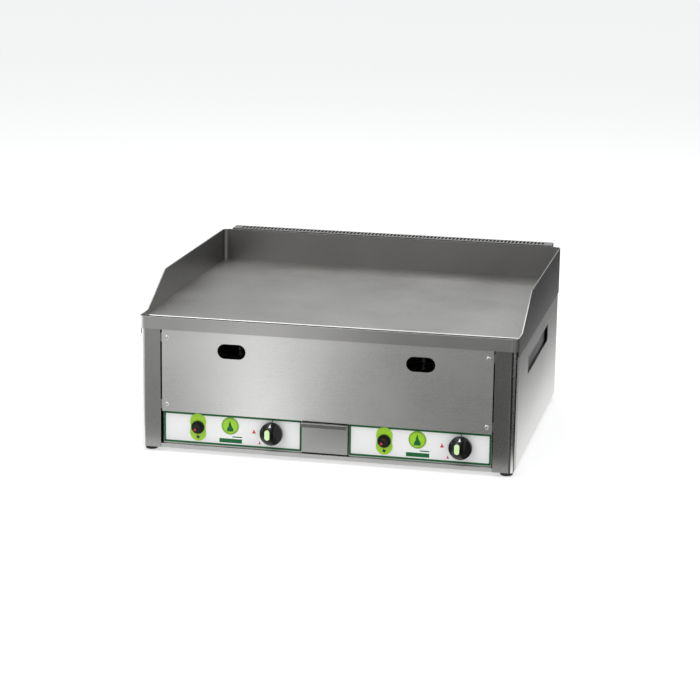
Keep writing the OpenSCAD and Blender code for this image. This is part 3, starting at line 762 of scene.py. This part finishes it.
@dataclass
class Studio:
    """The plain pale floor, the soft lights and the camera."""

    lens: float = 115.83
    stand_x: float = 819.0
    stand_back: float = 3617.0
    stand_z: float = 1120.8
    forward: tuple[float, float, float] = (-0.20348, 0.94915, -0.24023)
    up: tuple[float, float, float] = (-0.06486, 0.23176, 0.97061)
    floor_glow: float = 0.55
    side_width: float = 2.0
    side_glow: tuple[tuple[float, float], ...] = (
        (0.0, 1.0), (0.35, 0.93), (0.7, 0.70), (0.96, 0.46), (1.01, 0.03))
    glow: tuple[tuple[float, float], ...] = (
        (-0.40, 0.62), (-0.31, 0.50), (-0.27, 0.50), (-0.21, 0.66), (-0.17, 1.02), (-0.125, 1.28),
        (-0.075, 1.10), (-0.045, 0.84), (-0.015, 0.66), (0.03, 0.47), (0.08, 0.36), (0.13, 0.29),
        (0.21, 0.22), (0.30, 0.19), (0.45, 0.28),
    )

    def build(self) -> None:
        """Set up the floor, the world, the lights and the camera."""
        self.look_through()
        self.lay_floor()
        self.light_world()
        self.lay_front_card()
        self.lay_side_card()
        self.hang_lights()
        bpy.context.scene.view_settings.view_transform = "Standard"

    def look_through(self) -> None:
        """Make the camera and set it as the scene's own."""
        data = bpy.data.cameras.new("studio_camera")
        camera = bpy.data.objects.new("studio_camera", data)
        bpy.context.scene.collection.objects.link(camera)
        data.lens = self.lens
        data.sensor_width = 36.0
        forward, up = Vector(self.forward).normalized(), Vector(self.up).normalized()
        right = forward.cross(up).normalized()
        up = right.cross(forward)
        turn = Matrix((right, up, -forward)).transposed()
        face = corners("front_fascia")[0].y
        place = Vector((self.stand_x, face - self.stand_back, self.stand_z)) * MM
        camera.matrix_world = Matrix.Translation(place) @ turn.to_4x4()
        data.clip_end = 60.0
        bpy.context.scene.camera = camera

    def plain(self, name: str, strength: float) -> tuple[bpy.types.Material, bpy.types.Node]:
        """Make a glowing material for the studio's cards.

        Args:
            name: the material's name.
            strength: how bright it glows.

        Returns:
            The material and its glowing shader.
        """
        material = bpy.data.materials.new(name)
        material.use_nodes = True
        tree = material.node_tree
        tree.nodes.clear()
        glow = tree.nodes.new("ShaderNodeEmission")
        glow.inputs["Strength"].default_value = strength
        output = tree.nodes.new("ShaderNodeOutputMaterial")
        tree.links.new(glow.outputs[0], output.inputs[0])
        return material, glow

    def lay_floor(self) -> None:
        """Lay the pale floor."""
        Bench.clear()
        bpy.ops.mesh.primitive_plane_add(size=24.0, location=(0, 0, 0))
        floor = Bench.named("studio_floor")
        wiring = Wiring("pale_floor")
        wiring.put("Base Color", (0.62, 0.62, 0.62, 1.0))
        wiring.put("Emission Color", (1.0, 1.0, 1.0, 1.0))
        wiring.put("Emission Strength", self.floor_glow)
        wiring.put("Roughness", 0.9)
        wiring.put("Specular IOR Level", 0.0)
        floor.data.materials.append(wiring.material)

    def light_world(self) -> None:
        """Light the room evenly, white to the eye and softer in the steel."""
        world = bpy.data.worlds.new("studio_world")
        bpy.context.scene.world = world
        world.use_nodes = True
        tree = world.node_tree
        tree.nodes.clear()
        path = tree.nodes.new("ShaderNodeLightPath")
        seen = tree.nodes.new("ShaderNodeBackground")
        seen.inputs[0].default_value = (1.0, 1.0, 1.0, 1.0)
        seen.inputs[1].default_value = 1.0
        felt = tree.nodes.new("ShaderNodeBackground")
        felt.inputs[0].default_value = (0.97, 0.985, 1.0, 1.0)
        felt.inputs[1].default_value = 0.55
        mix = tree.nodes.new("ShaderNodeMixShader")
        output = tree.nodes.new("ShaderNodeOutputWorld")
        tree.links.new(path.outputs["Is Camera Ray"], mix.inputs[0])
        tree.links.new(felt.outputs[0], mix.inputs[1])
        tree.links.new(seen.outputs[0], mix.inputs[2])
        tree.links.new(mix.outputs[0], output.inputs[0])

    def card(self, name: str, label: str, middle: Sequence[float], width: float,
             depth: float) -> tuple[bpy.types.Object, bpy.types.Material, bpy.types.Node]:
        """Lay one glowing card on the floor.

        Args:
            name: the card's name.
            label: its material's name.
            middle: where its middle lies, in metres.
            width: its size along x, in metres.
            depth: its size along y, in metres.

        Returns:
            The card, its material and the material's glowing shader.
        """
        Bench.clear()
        bpy.ops.mesh.primitive_plane_add(size=1.0, location=middle)
        card = Bench.named(name)
        card.scale = (width, depth, 1.0)
        bpy.ops.object.transform_apply(location=True, rotation=True, scale=True)
        return card, *self.plain(label, 1.0)

    def lay_front_card(self) -> None:
        """Lay the graded card in front, which only the steel's reflections see."""
        card, material, glow = self.card("front_card", "graded_card", (-0.4, -1.9, 0.001), 4.4, 3.1)
        tree = material.node_tree
        place = tree.nodes.new("ShaderNodeTexCoord").outputs["Object"]
        split = tree.nodes.new("ShaderNodeSeparateXYZ")
        tree.links.new(place, split.inputs[0])
        face = corners("front_panel")[0].y * MM
        behind = face + (self.stand_back * MM)
        run = self.sum_of(tree, "SUBTRACT", behind, split.outputs["Y"])
        ratio = self.sum_of(tree, "DIVIDE", self.stand_back * MM, run)
        offset = self.sum_of(tree, "SUBTRACT", split.outputs["X"], self.stand_x * MM)
        place_x = self.sum_of(tree, "ADD", self.sum_of(tree, "MULTIPLY", offset, ratio), self.stand_x * MM)
        self.grade(card, material, glow, self.sum_of(tree, "ADD", place_x, 0.5),
                   [(x + 0.5, bright) for x, bright in self.glow])

    def lay_side_card(self) -> None:
        """Lay the card beside the griddle that keeps the guards dark over a bright side sheet."""
        card, material, glow = self.card("side_card", "graded_side_card", (1.33, 1.2, 0.0012),
                                         self.side_width, 4.4)
        tree = material.node_tree
        split = tree.nodes.new("ShaderNodeSeparateXYZ")
        tree.links.new(tree.nodes.new("ShaderNodeTexCoord").outputs["Object"], split.inputs[0])
        level = self.sum_of(tree, "DIVIDE", split.outputs["X"], self.side_width)
        low, high = corners("splash_guard")
        stops = []
        for share, bright in self.side_glow:
            height = low.z * share
            landing = high.x + height * (self.stand_x - high.x) / (self.stand_z - height)
            stops.append((landing * MM / self.side_width, bright))
        self.grade(card, material, glow, level, stops)

    @staticmethod
    def hide_from_eye(card: bpy.types.Object) -> None:
        """Show a studio card to reflections only.

        Args:
            card: the card.
        """
        for ray in ("camera", "diffuse", "shadow", "transmission", "volume_scatter"):
            setattr(card, f"visible_{ray}", False)

    def grade(self, card: bpy.types.Object, material: bpy.types.Material, glow: bpy.types.Node,
              level: bpy.types.NodeSocket, stops: Sequence[tuple[float, float]]) -> None:
        """Grade a card's glow and show the card to reflections only.

        Args:
            card: the card.
            material: its material.
            glow: the material's glowing shader.
            level: the place along the card, from 0 to 1.
            stops: places and how bright the card is there.
        """
        tree = material.node_tree
        ramp = tree.nodes.new("ShaderNodeValToRGB")
        band = ramp.color_ramp
        while len(band.elements) < len(stops):
            band.elements.new(0.5)
        for element, (place, bright) in zip(band.elements, stops):
            element.position = place
            element.color = (bright, bright, bright * 0.99, 1.0)
        tree.links.new(level, ramp.inputs[0])
        tree.links.new(ramp.outputs[0], glow.inputs["Color"])
        card.data.materials.append(material)
        self.hide_from_eye(card)

    @staticmethod
    def sum_of(tree: bpy.types.NodeTree, operation: str, first: object, second: object) -> bpy.types.NodeSocket:
        """Add one arithmetic node.

        Args:
            tree: the node tree.
            operation: the arithmetic.
            first: a number or a socket.
            second: a number or a socket.

        Returns:
            The result.
        """
        node = tree.nodes.new("ShaderNodeMath")
        node.operation = operation
        for socket, value in zip(node.inputs, (first, second)):
            if isinstance(value, bpy.types.NodeSocket):
                tree.links.new(value, socket)
            else:
                socket.default_value = value
        return node.outputs[0]

    def hang_lights(self) -> None:
        """Hang the soft lights."""
        self.hang("key_light", (-1.6, -2.2, 3.0), (0.0, 0.0, 0.2), 2.6, 60.0)
        self.hang("fill_light", (2.4, -1.6, 1.8), (0.0, 0.0, 0.15), 2.4, 22.0)
        self.hang("top_light", (0.2, 1.6, 2.6), (0.0, 0.0, 0.2), 2.4, 26.0)

    def hang(self, name: str, place: Sequence[float], target: Sequence[float], size: float,
             power: float) -> None:
        """Hang one soft light.

        Args:
            name: the light's name.
            place: where it hangs, in metres.
            target: what it points at, in metres.
            size: its width, in metres.
            power: its power in watts.
        """
        data = bpy.data.lights.new(name, "AREA")
        data.size = size
        data.energy = power
        light = bpy.data.objects.new(name, data)
        light.location = place
        light.rotation_euler = (Vector(target) - Vector(place)).to_track_quat("-Z", "Y").to_euler()
        light.visible_camera = False
        bpy.context.scene.collection.objects.link(light)


@dataclass
class Sheetwork:
    """Folded and ground sheet parts whose frame shapes are kept, with their edges rounded.

    Attributes:
        wall_x: what lies further out than this is a side wall of the guard.
        skin: what lies deeper than this is the inside of the flue.
        parts: the finish of each sheet node and how far its edges are rounded.
        bends: painted highlight and painted shade bands by node, each between two turns from straight ahead in
            degrees.
    """

    wall_x: float = 300.0
    skin: float = 3.0
    parts: dict[str, tuple[Finish, float]] = field(default_factory=lambda: {
        "splash_guard": (Wardrobe.GUARD, 0.6),
        "front_fascia": (Wardrobe.FASCIA, 0.35),
        "left_front_post": (Wardrobe.POST, 0.45),
        "right_front_post": (Wardrobe.FAR_POST_SHADE, 0.45),
        "left_side_panel": (Wardrobe.SIDE, 0.35),
        "right_side_panel": (Wardrobe.SIDE, 0.35),
        "front_panel": (Wardrobe.BODY, 0.4),
        "base_pan": (Wardrobe.PAN, 0.5),
        "flue_box": (Wardrobe.TRAY, 0.45),
        "flue_cover": (Wardrobe.TRAY, 0.15),
        "back_panel": (Wardrobe.SIDE, 0.35),
        "grease_drawer": (Wardrobe.INNER, 0.35),
    })

    bends: dict[str, tuple[tuple[Finish, float, float], ...]] = field(default_factory=lambda: {
        "left_front_post": ((Wardrobe.BEND_HIGHLIGHT, 14.0, 62.0), (Wardrobe.BEND_DARK, 62.0, 86.0)),
        "right_front_post": ((Wardrobe.BEND_DARK, 5.0, 30.0), (Wardrobe.BEND_HIGHLIGHT, 30.0, 62.0),
                             (Wardrobe.BEND_DARK, 62.0, 85.0)),
        "front_fascia": ((Wardrobe.BEND_HIGHLIGHT, 14.0, 75.0),),
    })

    def build(self) -> None:
        """Round the edges of every sheet part, and paint highlight and shade on their bends, the guards' top
        edges and outer walls, and the flue's hidden inside faces.
        """
        for node, (finish, width) in self.parts.items():
            piece = Bench.from_node(node, f"{node}_sheet")
            Bench.rounded(piece, width, 2, 28.0)
            Bench.dress(piece, finish, "drawer" if node == "grease_drawer" else "griddle", node)
            if node == "splash_guard":
                # Painted highlight on the guards' sloped top edges.
                self.mark(piece, Wardrobe.GUARD_EDGE_HIGHLIGHT,
                          lambda middle, normal: normal.z > 0.3 and abs(middle.x) > self.wall_x)
                # Painted shade on the guards' outer side walls.
                self.mark(piece, Wardrobe.GUARD_OUTSIDE_SHADE,
                          lambda middle, normal: normal.x * middle.x > self.wall_x)
            # Painted highlight and painted shade bands on the rounded bends, picked by how far each face turns
            # from straight ahead.
            for bend, start, end in self.bends.get(node, ()):
                outward = -1.0 if node.startswith("left") or node == "front_fascia" else 1.0
                self.mark(piece, bend, lambda middle, normal, out=outward, a=start, b=end: abs(normal.z) < 0.5
                          and a <= math.degrees(math.atan2(out * normal.x, -normal.y)) < b)
            # Painted shade on the faces inside the flue box and its cover.
            if node in ("flue_box", "flue_cover"):
                low, high = corners(node)
                rise = self.skin if node == "flue_box" else -1.0
                inset = Vector((self.skin, self.skin, rise))
                self.mark(piece, Wardrobe.PAINTED_SHADE, lambda middle, normal, a=low + inset, b=high - inset:
                          normal.z < 0.5 and all(a[i] < middle[i] < b[i] for i in range(3)))

    @staticmethod
    def mark(piece: bpy.types.Object, finish: Finish, test: Callable[[Vector, Vector], bool]) -> None:
        """Give some faces of a piece a second finish.

        Args:
            piece: the piece.
            finish: the second finish.
            test: picks a face by its middle in millimetres and its normal.
        """
        piece.data.materials.append(finish.material())
        index = len(piece.data.materials) - 1
        for face in piece.data.polygons:
            if test(face.center / MM, face.normal):
                face.material_index = index


@dataclass
class CookingPlate:
    """The thick ground plate with its milled front chamfer, painted highlight on the chamfer and painted shade
    on the front face.
    """

    chamfer: float = 1.5

    def build(self) -> None:
        """Chamfer the plate's front edge, paint the bright highlight strip on it and paint shade on the front
        face below it.
        """
        low, high = corners("cooking_plate")
        piece = Bench.from_node("cooking_plate", "cooking_plate_ground")
        Bench.pick(piece, "EDGE", lambda middle, way: abs(way.x) > 0.99 and middle.y < low.y + 0.5
                   and middle.z > high.z - 0.5)
        bpy.ops.mesh.bevel(offset=self.chamfer * MM, segments=3, affect="EDGES")
        bpy.ops.object.mode_set(mode="OBJECT")
        Bench.dress(piece, Wardrobe.PLATE, "griddle", "cooking_plate")
        # Painted highlight on the chamfer's faces (slot 1) and painted shade on the plate's front face (slot
        # 2).
        piece.data.materials.append(Wardrobe.PLATE_EDGE_HIGHLIGHT.material())
        piece.data.materials.append(Wardrobe.PAINTED_SHADE.material())
        for face in piece.data.polygons:
            middle = face.center / MM
            if middle.y < low.y + self.chamfer + 0.01 and middle.z > high.z - self.chamfer - 0.01:
                face.material_index = 1
            if face.normal.y < -0.99:
                face.material_index = 2
        Bench.flattened(Bench.smooth(piece))


@dataclass
class PanelScrews:
    """The four pan-head screws with crossed recesses."""

    head: float = 4.0
    rise: float = 2.0
    slot_w: float = 0.9
    slot_l: float = 4.6

    def build(self) -> None:
        """Turn each head, cut its cross and hide the plain ones."""
        low, high = corners("front_panel_screws")
        seat = corners("front_panel")[0].y
        for i, x in enumerate((low.x + self.head, high.x - self.head)):
            for j, z in enumerate((low.z + self.head, high.z - self.head)):
                h = self.head
                piece = Bench.turned(f"panel_screw_{i}{j}", x, z, [
                    (1.8, seat + 1.1), (1.8, seat), (h * 0.96, seat), (h, seat - 0.25), (h * 0.97, seat - 0.8),
                    (h * 0.86, seat - 1.35), (h * 0.62, seat - 1.8), (h * 0.3, seat - 1.97),
                    (0.3, seat - self.rise)], 40)
                for turn in (28.0 + 40 * i, 118.0 + 40 * i):
                    bar = Bench.block("recess", (-self.slot_l / 2, seat - 3, -self.slot_w / 2),
                                      (self.slot_l / 2, seat - 0.9, self.slot_w / 2))
                    bar.data.transform(Matrix.Translation((x * MM, 0, z * MM)) @ Matrix.Rotation(
                        math.radians(turn), 4, "Y"))
                    Bench.cut(piece, bar)
                Bench.smooth(piece)
                Bench.dress(piece, Wardrobe.SCREW, "griddle")
        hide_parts("front_panel_screws")


@dataclass
class ControlPrint:
    """The printed film of one zone: border, ticks, flames, badge and bar."""

    side: Side
    ink: float = 0.08
    border: float = 3.4
    corner: float = 2.0
    badge_r: float = 15.0
    flame: tuple[tuple[float, float], ...] = (
        (-0.5, 0.0), (-0.42, 0.28), (-0.2, 0.5), (-0.22, 0.68), (0.0, 1.0), (0.12, 0.7), (0.3, 0.45),
        (0.5, 0.2),
        (0.42, 0.0))

    def build(self) -> None:
        """Print the film."""
        node = f"{self.side.value}_panel_overlay"
        low, high = corners(node)
        knob_low, knob_high = corners(f"{self.side.value}_knob")
        self.face = low.y
        self.axis = Vector(((knob_low.x + knob_high.x) / 2, 0, (knob_low.z + knob_high.z) / 2))
        self.print_border(low, high)
        self.print_marks(high)
        self.print_badge((low.x + high.x) / 2 - (4.0 if self.side is Side.RIGHT else 3.8), self.axis.z + 6.5)

    def show(self, piece: bpy.types.Object, finish: Finish) -> None:
        """Dress one printed figure."""
        Bench.dress(piece, finish, "griddle")

    def print_border(self, low: Vector, high: Vector) -> None:
        """Print the dark green border along the film's edge.

        Args:
            low: the film's lowest corner.
            high: the film's highest corner.
        """
        Bench.clear()
        middle = ((low.x + high.x) / 2 * MM, self.face * MM, (low.z + high.z) / 2 * MM)
        bpy.ops.mesh.primitive_plane_add(size=1.0, location=middle, rotation=(math.pi / 2, 0, 0))
        piece = Bench.named(f"{self.side.value}_film_border")
        piece.scale = ((high.x - low.x) * MM, (high.z - low.z) * MM, 1.0)
        bpy.ops.object.transform_apply(location=True, rotation=True, scale=True)
        Bench.pick(piece, "VERT", lambda place, normal: True)
        bpy.ops.mesh.bevel(offset=self.corner * MM, segments=6, affect="VERTICES")
        bpy.ops.mesh.select_all(action="SELECT")
        bpy.ops.mesh.inset(thickness=self.border * MM)
        bpy.ops.mesh.delete(type="ONLY_FACE")
        bpy.ops.mesh.select_all(action="SELECT")
        bpy.ops.mesh.extrude_region_move(TRANSFORM_OT_translate={"value": (0, -self.ink * MM, 0)})
        Bench.closed(piece)
        self.show(piece, Wardrobe.GREEN_INK)

    def print_marks(self, high: Vector) -> None:
        """Print the ticks and the large and small flames round the knob.

        Args:
            high: the film's highest corner.
        """
        x, face = self.axis.x, self.face
        top = high.z - self.border
        name = self.side.value
        mark = Bench.block(f"{name}_off_tick", (x - 0.7, face - self.ink, top - 2.6),
                           (x + 0.7, face, top + 0.1))
        self.show(mark, Wardrobe.GREEN_INK)
        for label, angle, size, reach in (("full", 180.0, 8.0, 33.0), ("low", 221.0, 5.4, 30.2)):
            way = Vector((math.cos(math.radians(angle)), 0, math.sin(math.radians(angle))))
            base = self.axis + way * reach
            points = [(base.x + px * size * 0.75, base.z + (pz - 0.5) * size) for px, pz in self.flame]
            self.show(Bench.outline(f"{name}_{label}_flame", points, face, face - self.ink), Wardrobe.RED_INK)
            tick = [(self.axis + way * r) + Vector((-way.z, 0, way.x)) * s
                    for r, s in ((21.6, -0.22), (24.6, -0.22), (24.6, 0.22), (21.6, 0.22))]
            self.show(Bench.outline(f"{name}_{label}_tick", [(p.x, p.z) for p in tick], face, face - self.ink),
                      Wardrobe.BLACK_INK)
        LOG.info("marks printed round the %s knob", name)

    def print_badge(self, x: float, z: float) -> None:
        """Print a plain round badge with a raised ring, darker lime as painted shade at the rim, and a
        leaf-green dome, and a bar for the wording.

        Args:
            x: the badge's middle.
            z: the badge's middle.
        """
        r, face, name = self.badge_r, self.face, self.side.value
        badge = Bench.turned(f"{name}_badge", x, z, [
            (r, face), (r, face - 0.35), (r - 0.4, face - 0.6), (r - 1.4, face - 0.75), (r - 1.7, face - 0.6),
            (r * 0.8, face - 0.95), (r * 0.5, face - 1.3), (r * 0.2, face - 1.45), (0.4, face - 1.48)])
        Bench.smooth(badge, 50.0)
        self.show(badge, Wardrobe.LIME)
        # The ring's darker lime is painted shade at the badge's rim.
        ring = Bench.turned(f"{name}_badge_ring", x, z, [
            (r + 0.4, face), (r + 0.4, face - 0.5), (r - 0.3, face - 1.0), (r - 2.2, face - 1.05),
            (r - 2.5, face - 0.6)])
        self.show(ring, Wardrobe.LIME_RIM_SHADE)
        leaf = [(x + px * 12.0, z - 9.5 + pz * 19.0) for px, pz in self.flame]
        mark = Bench.outline(f"{name}_badge_mark", leaf, face - 0.9, face - 1.62)
        self.show(mark, Wardrobe.GREEN_INK)
        bars = ((x - 19.5, x + 21.0, z - 30.4, z - 23.0), (x + 4.0, x + 21.0, z - 20.4, z - 18.4))
        for i, (x0, x1, z0, z1) in enumerate(bars):
            bar = Bench.block(f"{name}_bar_{i}", (x0, face - self.ink, z0), (x1, face, z1))
            self.show(Bench.rounded(bar, 0.03, 1), Wardrobe.GREEN_INK)


@dataclass
class GasKnob:
    """A domed gas knob with a scooped grip, a white pointer and a pale insert."""

    side: Side
    scoop: tuple[float, float, float] = (16.0, 16.0, 36.0)
    half_grip: float = 6.3

    def build(self) -> None:
        """Turn the dome, scoop the grip and set the pointer and the insert."""
        name = self.side.value
        low, high = corners(f"{name}_knob")
        x, z, r = (low.x + high.x) / 2, (low.z + high.z) / 2, (high.x - low.x) / 2
        back, front = high.y, low.y
        seat_low, seat_high = corners(f"{name}_knob_insert")
        shift = (seat_low.x + seat_high.x) / 2 - x
        dome = Bench.turned(f"{name}_knob_dome", x, z, [
            (r - 1.2, back), (r - 0.2, back - 0.6), (r, back - 1.6), (r, back - 6.4), (r - 0.25, back - 7.6),
            (r - 0.8, back - 9.2), (r - 2.0, back - 11.6), (r - 4.0, back - 14.4), (r - 6.6, back - 16.9),
            (r - 9.6, back - 18.8), (r - 12.6, back - 20.0), (r - 16.0, back - 20.6), (0.6, back - 20.8)], 96)
        for sign in (-1, 1):
            centre = (x + shift + sign * (self.half_grip + self.scoop[0]), front + 1.5, z)
            Bench.cut(dome, Bench.ball("scoop", centre, self.scoop))
        collar = Bench.turned("collar", x, z, [(r - 1.0, back - 0.01), (r, back - 1.0), (r, back - 7.2),
                                               (r - 0.7, back - 8.0), (r - 1.4, back - 8.2)], 96)
        Bench.cut(dome, collar, "UNION")
        Bench.rounded(dome, 0.5, 3, 26.0)
        Bench.dress(dome, Wardrobe.KNOB, f"{name}_knob", f"{name}_knob")
        insert = Bench.pill(f"{name}_insert_pill", (x + shift, (seat_low.z + seat_high.z) / 2),
                            seat_high.x - seat_low.x, seat_high.z - seat_low.z, back - 18.6, front + 0.9)
        Bench.rounded(insert, 0.8, 3)
        Bench.dress(insert, Wardrobe.PALE, f"{name}_knob", f"{name}_knob_insert")
        tip = [(x - 2.2, z + 14.4), (x + 2.2, z + 14.4), (x, z + 19.2)]
        pointer = Bench.outline(f"{name}_pointer", tip, back - 9.0, back - 16.2)
        Bench.pick(pointer, "VERT", lambda place, normal: place.z > z + 17.0 and place.y < back - 10)
        bpy.ops.transform.translate(value=(0, 4.6 * MM, 0))
        bpy.ops.object.mode_set(mode="OBJECT")
        Bench.dress(pointer, Wardrobe.WHITE_INK, f"{name}_knob")


@dataclass
class Igniter:
    """A spark igniter: lime plate, ringed bezel, sprung button and spark mark."""

    side: Side
    waist: float = 0.955

    def build(self) -> None:
        """Build the plate, the bezel and the button."""
        name = self.side.value
        low, high = corners(f"{name}_igniter_plate")
        x, z = (low.x + high.x) / 2, (low.z + high.z) / 2
        tip = corners(f"{name}_igniter_button")[0].y
        face = low.y
        plate = Bench.pill(f"{name}_lime_plate", (x, z), high.x - low.x, high.z - low.z, high.y, face, 64)
        Bench.pick(plate, "EDGE", lambda middle, way: abs(way.z) > 0.99)
        bpy.ops.mesh.subdivide(number_cuts=7)
        for reach, ratio in ((3.0, 1.0), (6.0, 0.5)):
            Bench.pick(plate, "VERT", lambda place, normal: abs(place.z - z) < reach)
            bpy.ops.transform.resize(value=(1.0 - (1.0 - self.waist) * ratio, 1.0, 1.0),
                                     center_override=(x * MM, 0, z * MM))
        bpy.ops.object.mode_set(mode="OBJECT")
        hole = Bench.turned("hole", x, z, [(8.4, high.y + 1), (8.4, face - 1)])
        Bench.cut(plate, hole)
        Bench.rounded(plate, 0.3, 2)
        Bench.dress(plate, Wardrobe.LIME, "griddle", f"{name}_igniter_plate")
        r = (corners(f"{name}_piezo_igniter")[1].x - corners(f"{name}_piezo_igniter")[0].x) / 2 - 0.6
        bezel = Bench.turned(f"{name}_bezel_ring", x, z, [
            (r, face + 0.02), (r, face - 1.6), (r - 0.5, face - 2.6), (r - 1.4, face - 2.98),
            (r - 2.2, face - 2.98), (r - 2.6, face - 2.5), (r - 3.0, face - 2.5), (r - 3.3, face - 2.9),
            (7.25, face - 2.9)])
        well = Bench.turned("well", x, z, [(7.25, face + 2), (7.25, face - 4)])
        Bench.cut(bezel, well)
        Bench.smooth(bezel, 40.0)
        Bench.dress(bezel, Wardrobe.BLACK, "griddle")
        body = f"{name}_button"
        rear = corners(f"{name}_igniter_button")[1].y
        button = Bench.turned(f"{name}_button_cap", x, z, [
            (6.9, rear), (6.98, tip + 1.6), (6.7, tip + 0.7), (6.0, tip + 0.2), (5.2, tip), (4.6, tip + 0.1),
            (3.6, tip + 0.75), (2.0, tip + 1.15), (0.3, tip + 1.25)])
        Bench.smooth(button, 50.0)
        Bench.dress(button, Wardrobe.BLACK, body, f"{name}_igniter_button")
        spot = Bench.turned(f"{name}_red_spot", x - 3.4, z - 3.4, [
            (2.3, tip + 1.3), (2.3, tip + 0.3), (1.9, tip + 0.06), (1.1, tip + 0.01), (0.2, tip)], 32)
        Bench.dress(Bench.smooth(spot), Wardrobe.RED_INK, body)
        self.mark_spark(x, z - 17.6, face)

    def mark_spark(self, x: float, z: float, face: float) -> None:
        """Print the four-pointed spark under the button.

        Args:
            x: its middle.
            z: its middle.
            face: the y of the lime plate's face.
        """
        points = []
        for i in range(8):
            reach = (4.4, 2.3)[i % 2]
            angle = math.radians(45.0 * i + 14.0)
            points.append((x + reach * math.cos(angle), z + reach * math.sin(angle)))
        Bench.dress(Bench.outline(f"{self.side.value}_spark_mark", points, face, face - 0.06),
                    Wardrobe.BLACK_INK, "griddle")


@dataclass
class DrawerFront:
    """The drawer's folded front with two weld dimples."""

    dimple_x: float = 15.0
    dimple_drop: float = 24.0
    dimple_depth: float = 0.1
    dimple_ball: tuple[float, float, float] = (7.4, 25.0, 7.4)
    sheet: float = 1.2

    def build(self) -> None:
        """Round the folded front, sink the dimples and paint shade on the lip's front face."""
        low, high = corners("drawer_front")
        piece = Bench.from_node("drawer_front", "drawer_front_folded")
        Bench.rounded(piece, 0.9, 3, 28.0)
        start = high.y - self.sheet + self.dimple_depth - self.dimple_ball[1]
        for x in (-self.dimple_x, self.dimple_x):
            centre = (x, start, high.z - self.dimple_drop)
            Bench.cut(piece, Bench.ball("dimple", centre, self.dimple_ball))
        Bench.flattened(Bench.smooth(piece))
        Bench.dress(piece, Wardrobe.FRONT, "drawer", "drawer_front")
        # Painted shade on the front face of the lip.
        Sheetwork.mark(piece, Wardrobe.LIP_SHADE, lambda middle, normal: normal.y < -0.9 and middle.y < low.y + 1.0)
        LOG.info("drawer front between %s and %s", low, high)


@dataclass
class Feet:
    """The four ribbed rubber feet."""

    radius: float = 12.0

    def build(self) -> None:
        """Build each foot and hide the plain ones."""
        low, high = corners("feet")
        for i, x in enumerate((low.x + self.radius, high.x - self.radius)):
            for j, y in enumerate((low.y + self.radius, high.y - self.radius)):
                piece = Bench.turned(f"foot_{i}{j}", 0, 0, [
                    (11.9, -high.z), (12.0, -high.z + 0.8), (11.4, -high.z + 1.6), (11.4, -high.z + 2.6),
                    (11.7, -high.z + 3.3), (11.2, -high.z + 4.2), (11.1, -high.z + 5.2), (10.7, -1.0),
                    (9.6, -0.2), (8.4, 0.0), (6.0, 0.0), (5.6, -0.8)], 48)
                stand = Matrix.Translation((x * MM, y * MM, 0))
                piece.data.transform(stand @ Matrix.Rotation(-math.pi / 2, 4, "X"))
                Bench.smooth(piece)
                Bench.dress(piece, Wardrobe.FOOT, "griddle")
        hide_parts("feet")


def dress_frame() -> None:
    """Give every frame node its finish."""
    for name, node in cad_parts.items():
        finish = Wardrobe.fitted(name)
        for slot in node.material_slots:
            slot.material = finish.material()


def keep_sizes() -> None:
    """Update the view layer."""
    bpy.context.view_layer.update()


def main() -> None:
    """Build and dress every sub-assembly in order."""
    logging.basicConfig(level=logging.INFO, format="%(message)s")
    Studio().build()
    dress_frame()
    Sheetwork().build()
    CookingPlate().build()
    PanelScrews().build()
    for side in Side:
        ControlPrint(side).build()
        Igniter(side).build()
        GasKnob(side).build()
    DrawerFront().build()
    Feet().build()
    keep_sizes()
    Bench.clear()


if __name__ == "__main__":
    main()
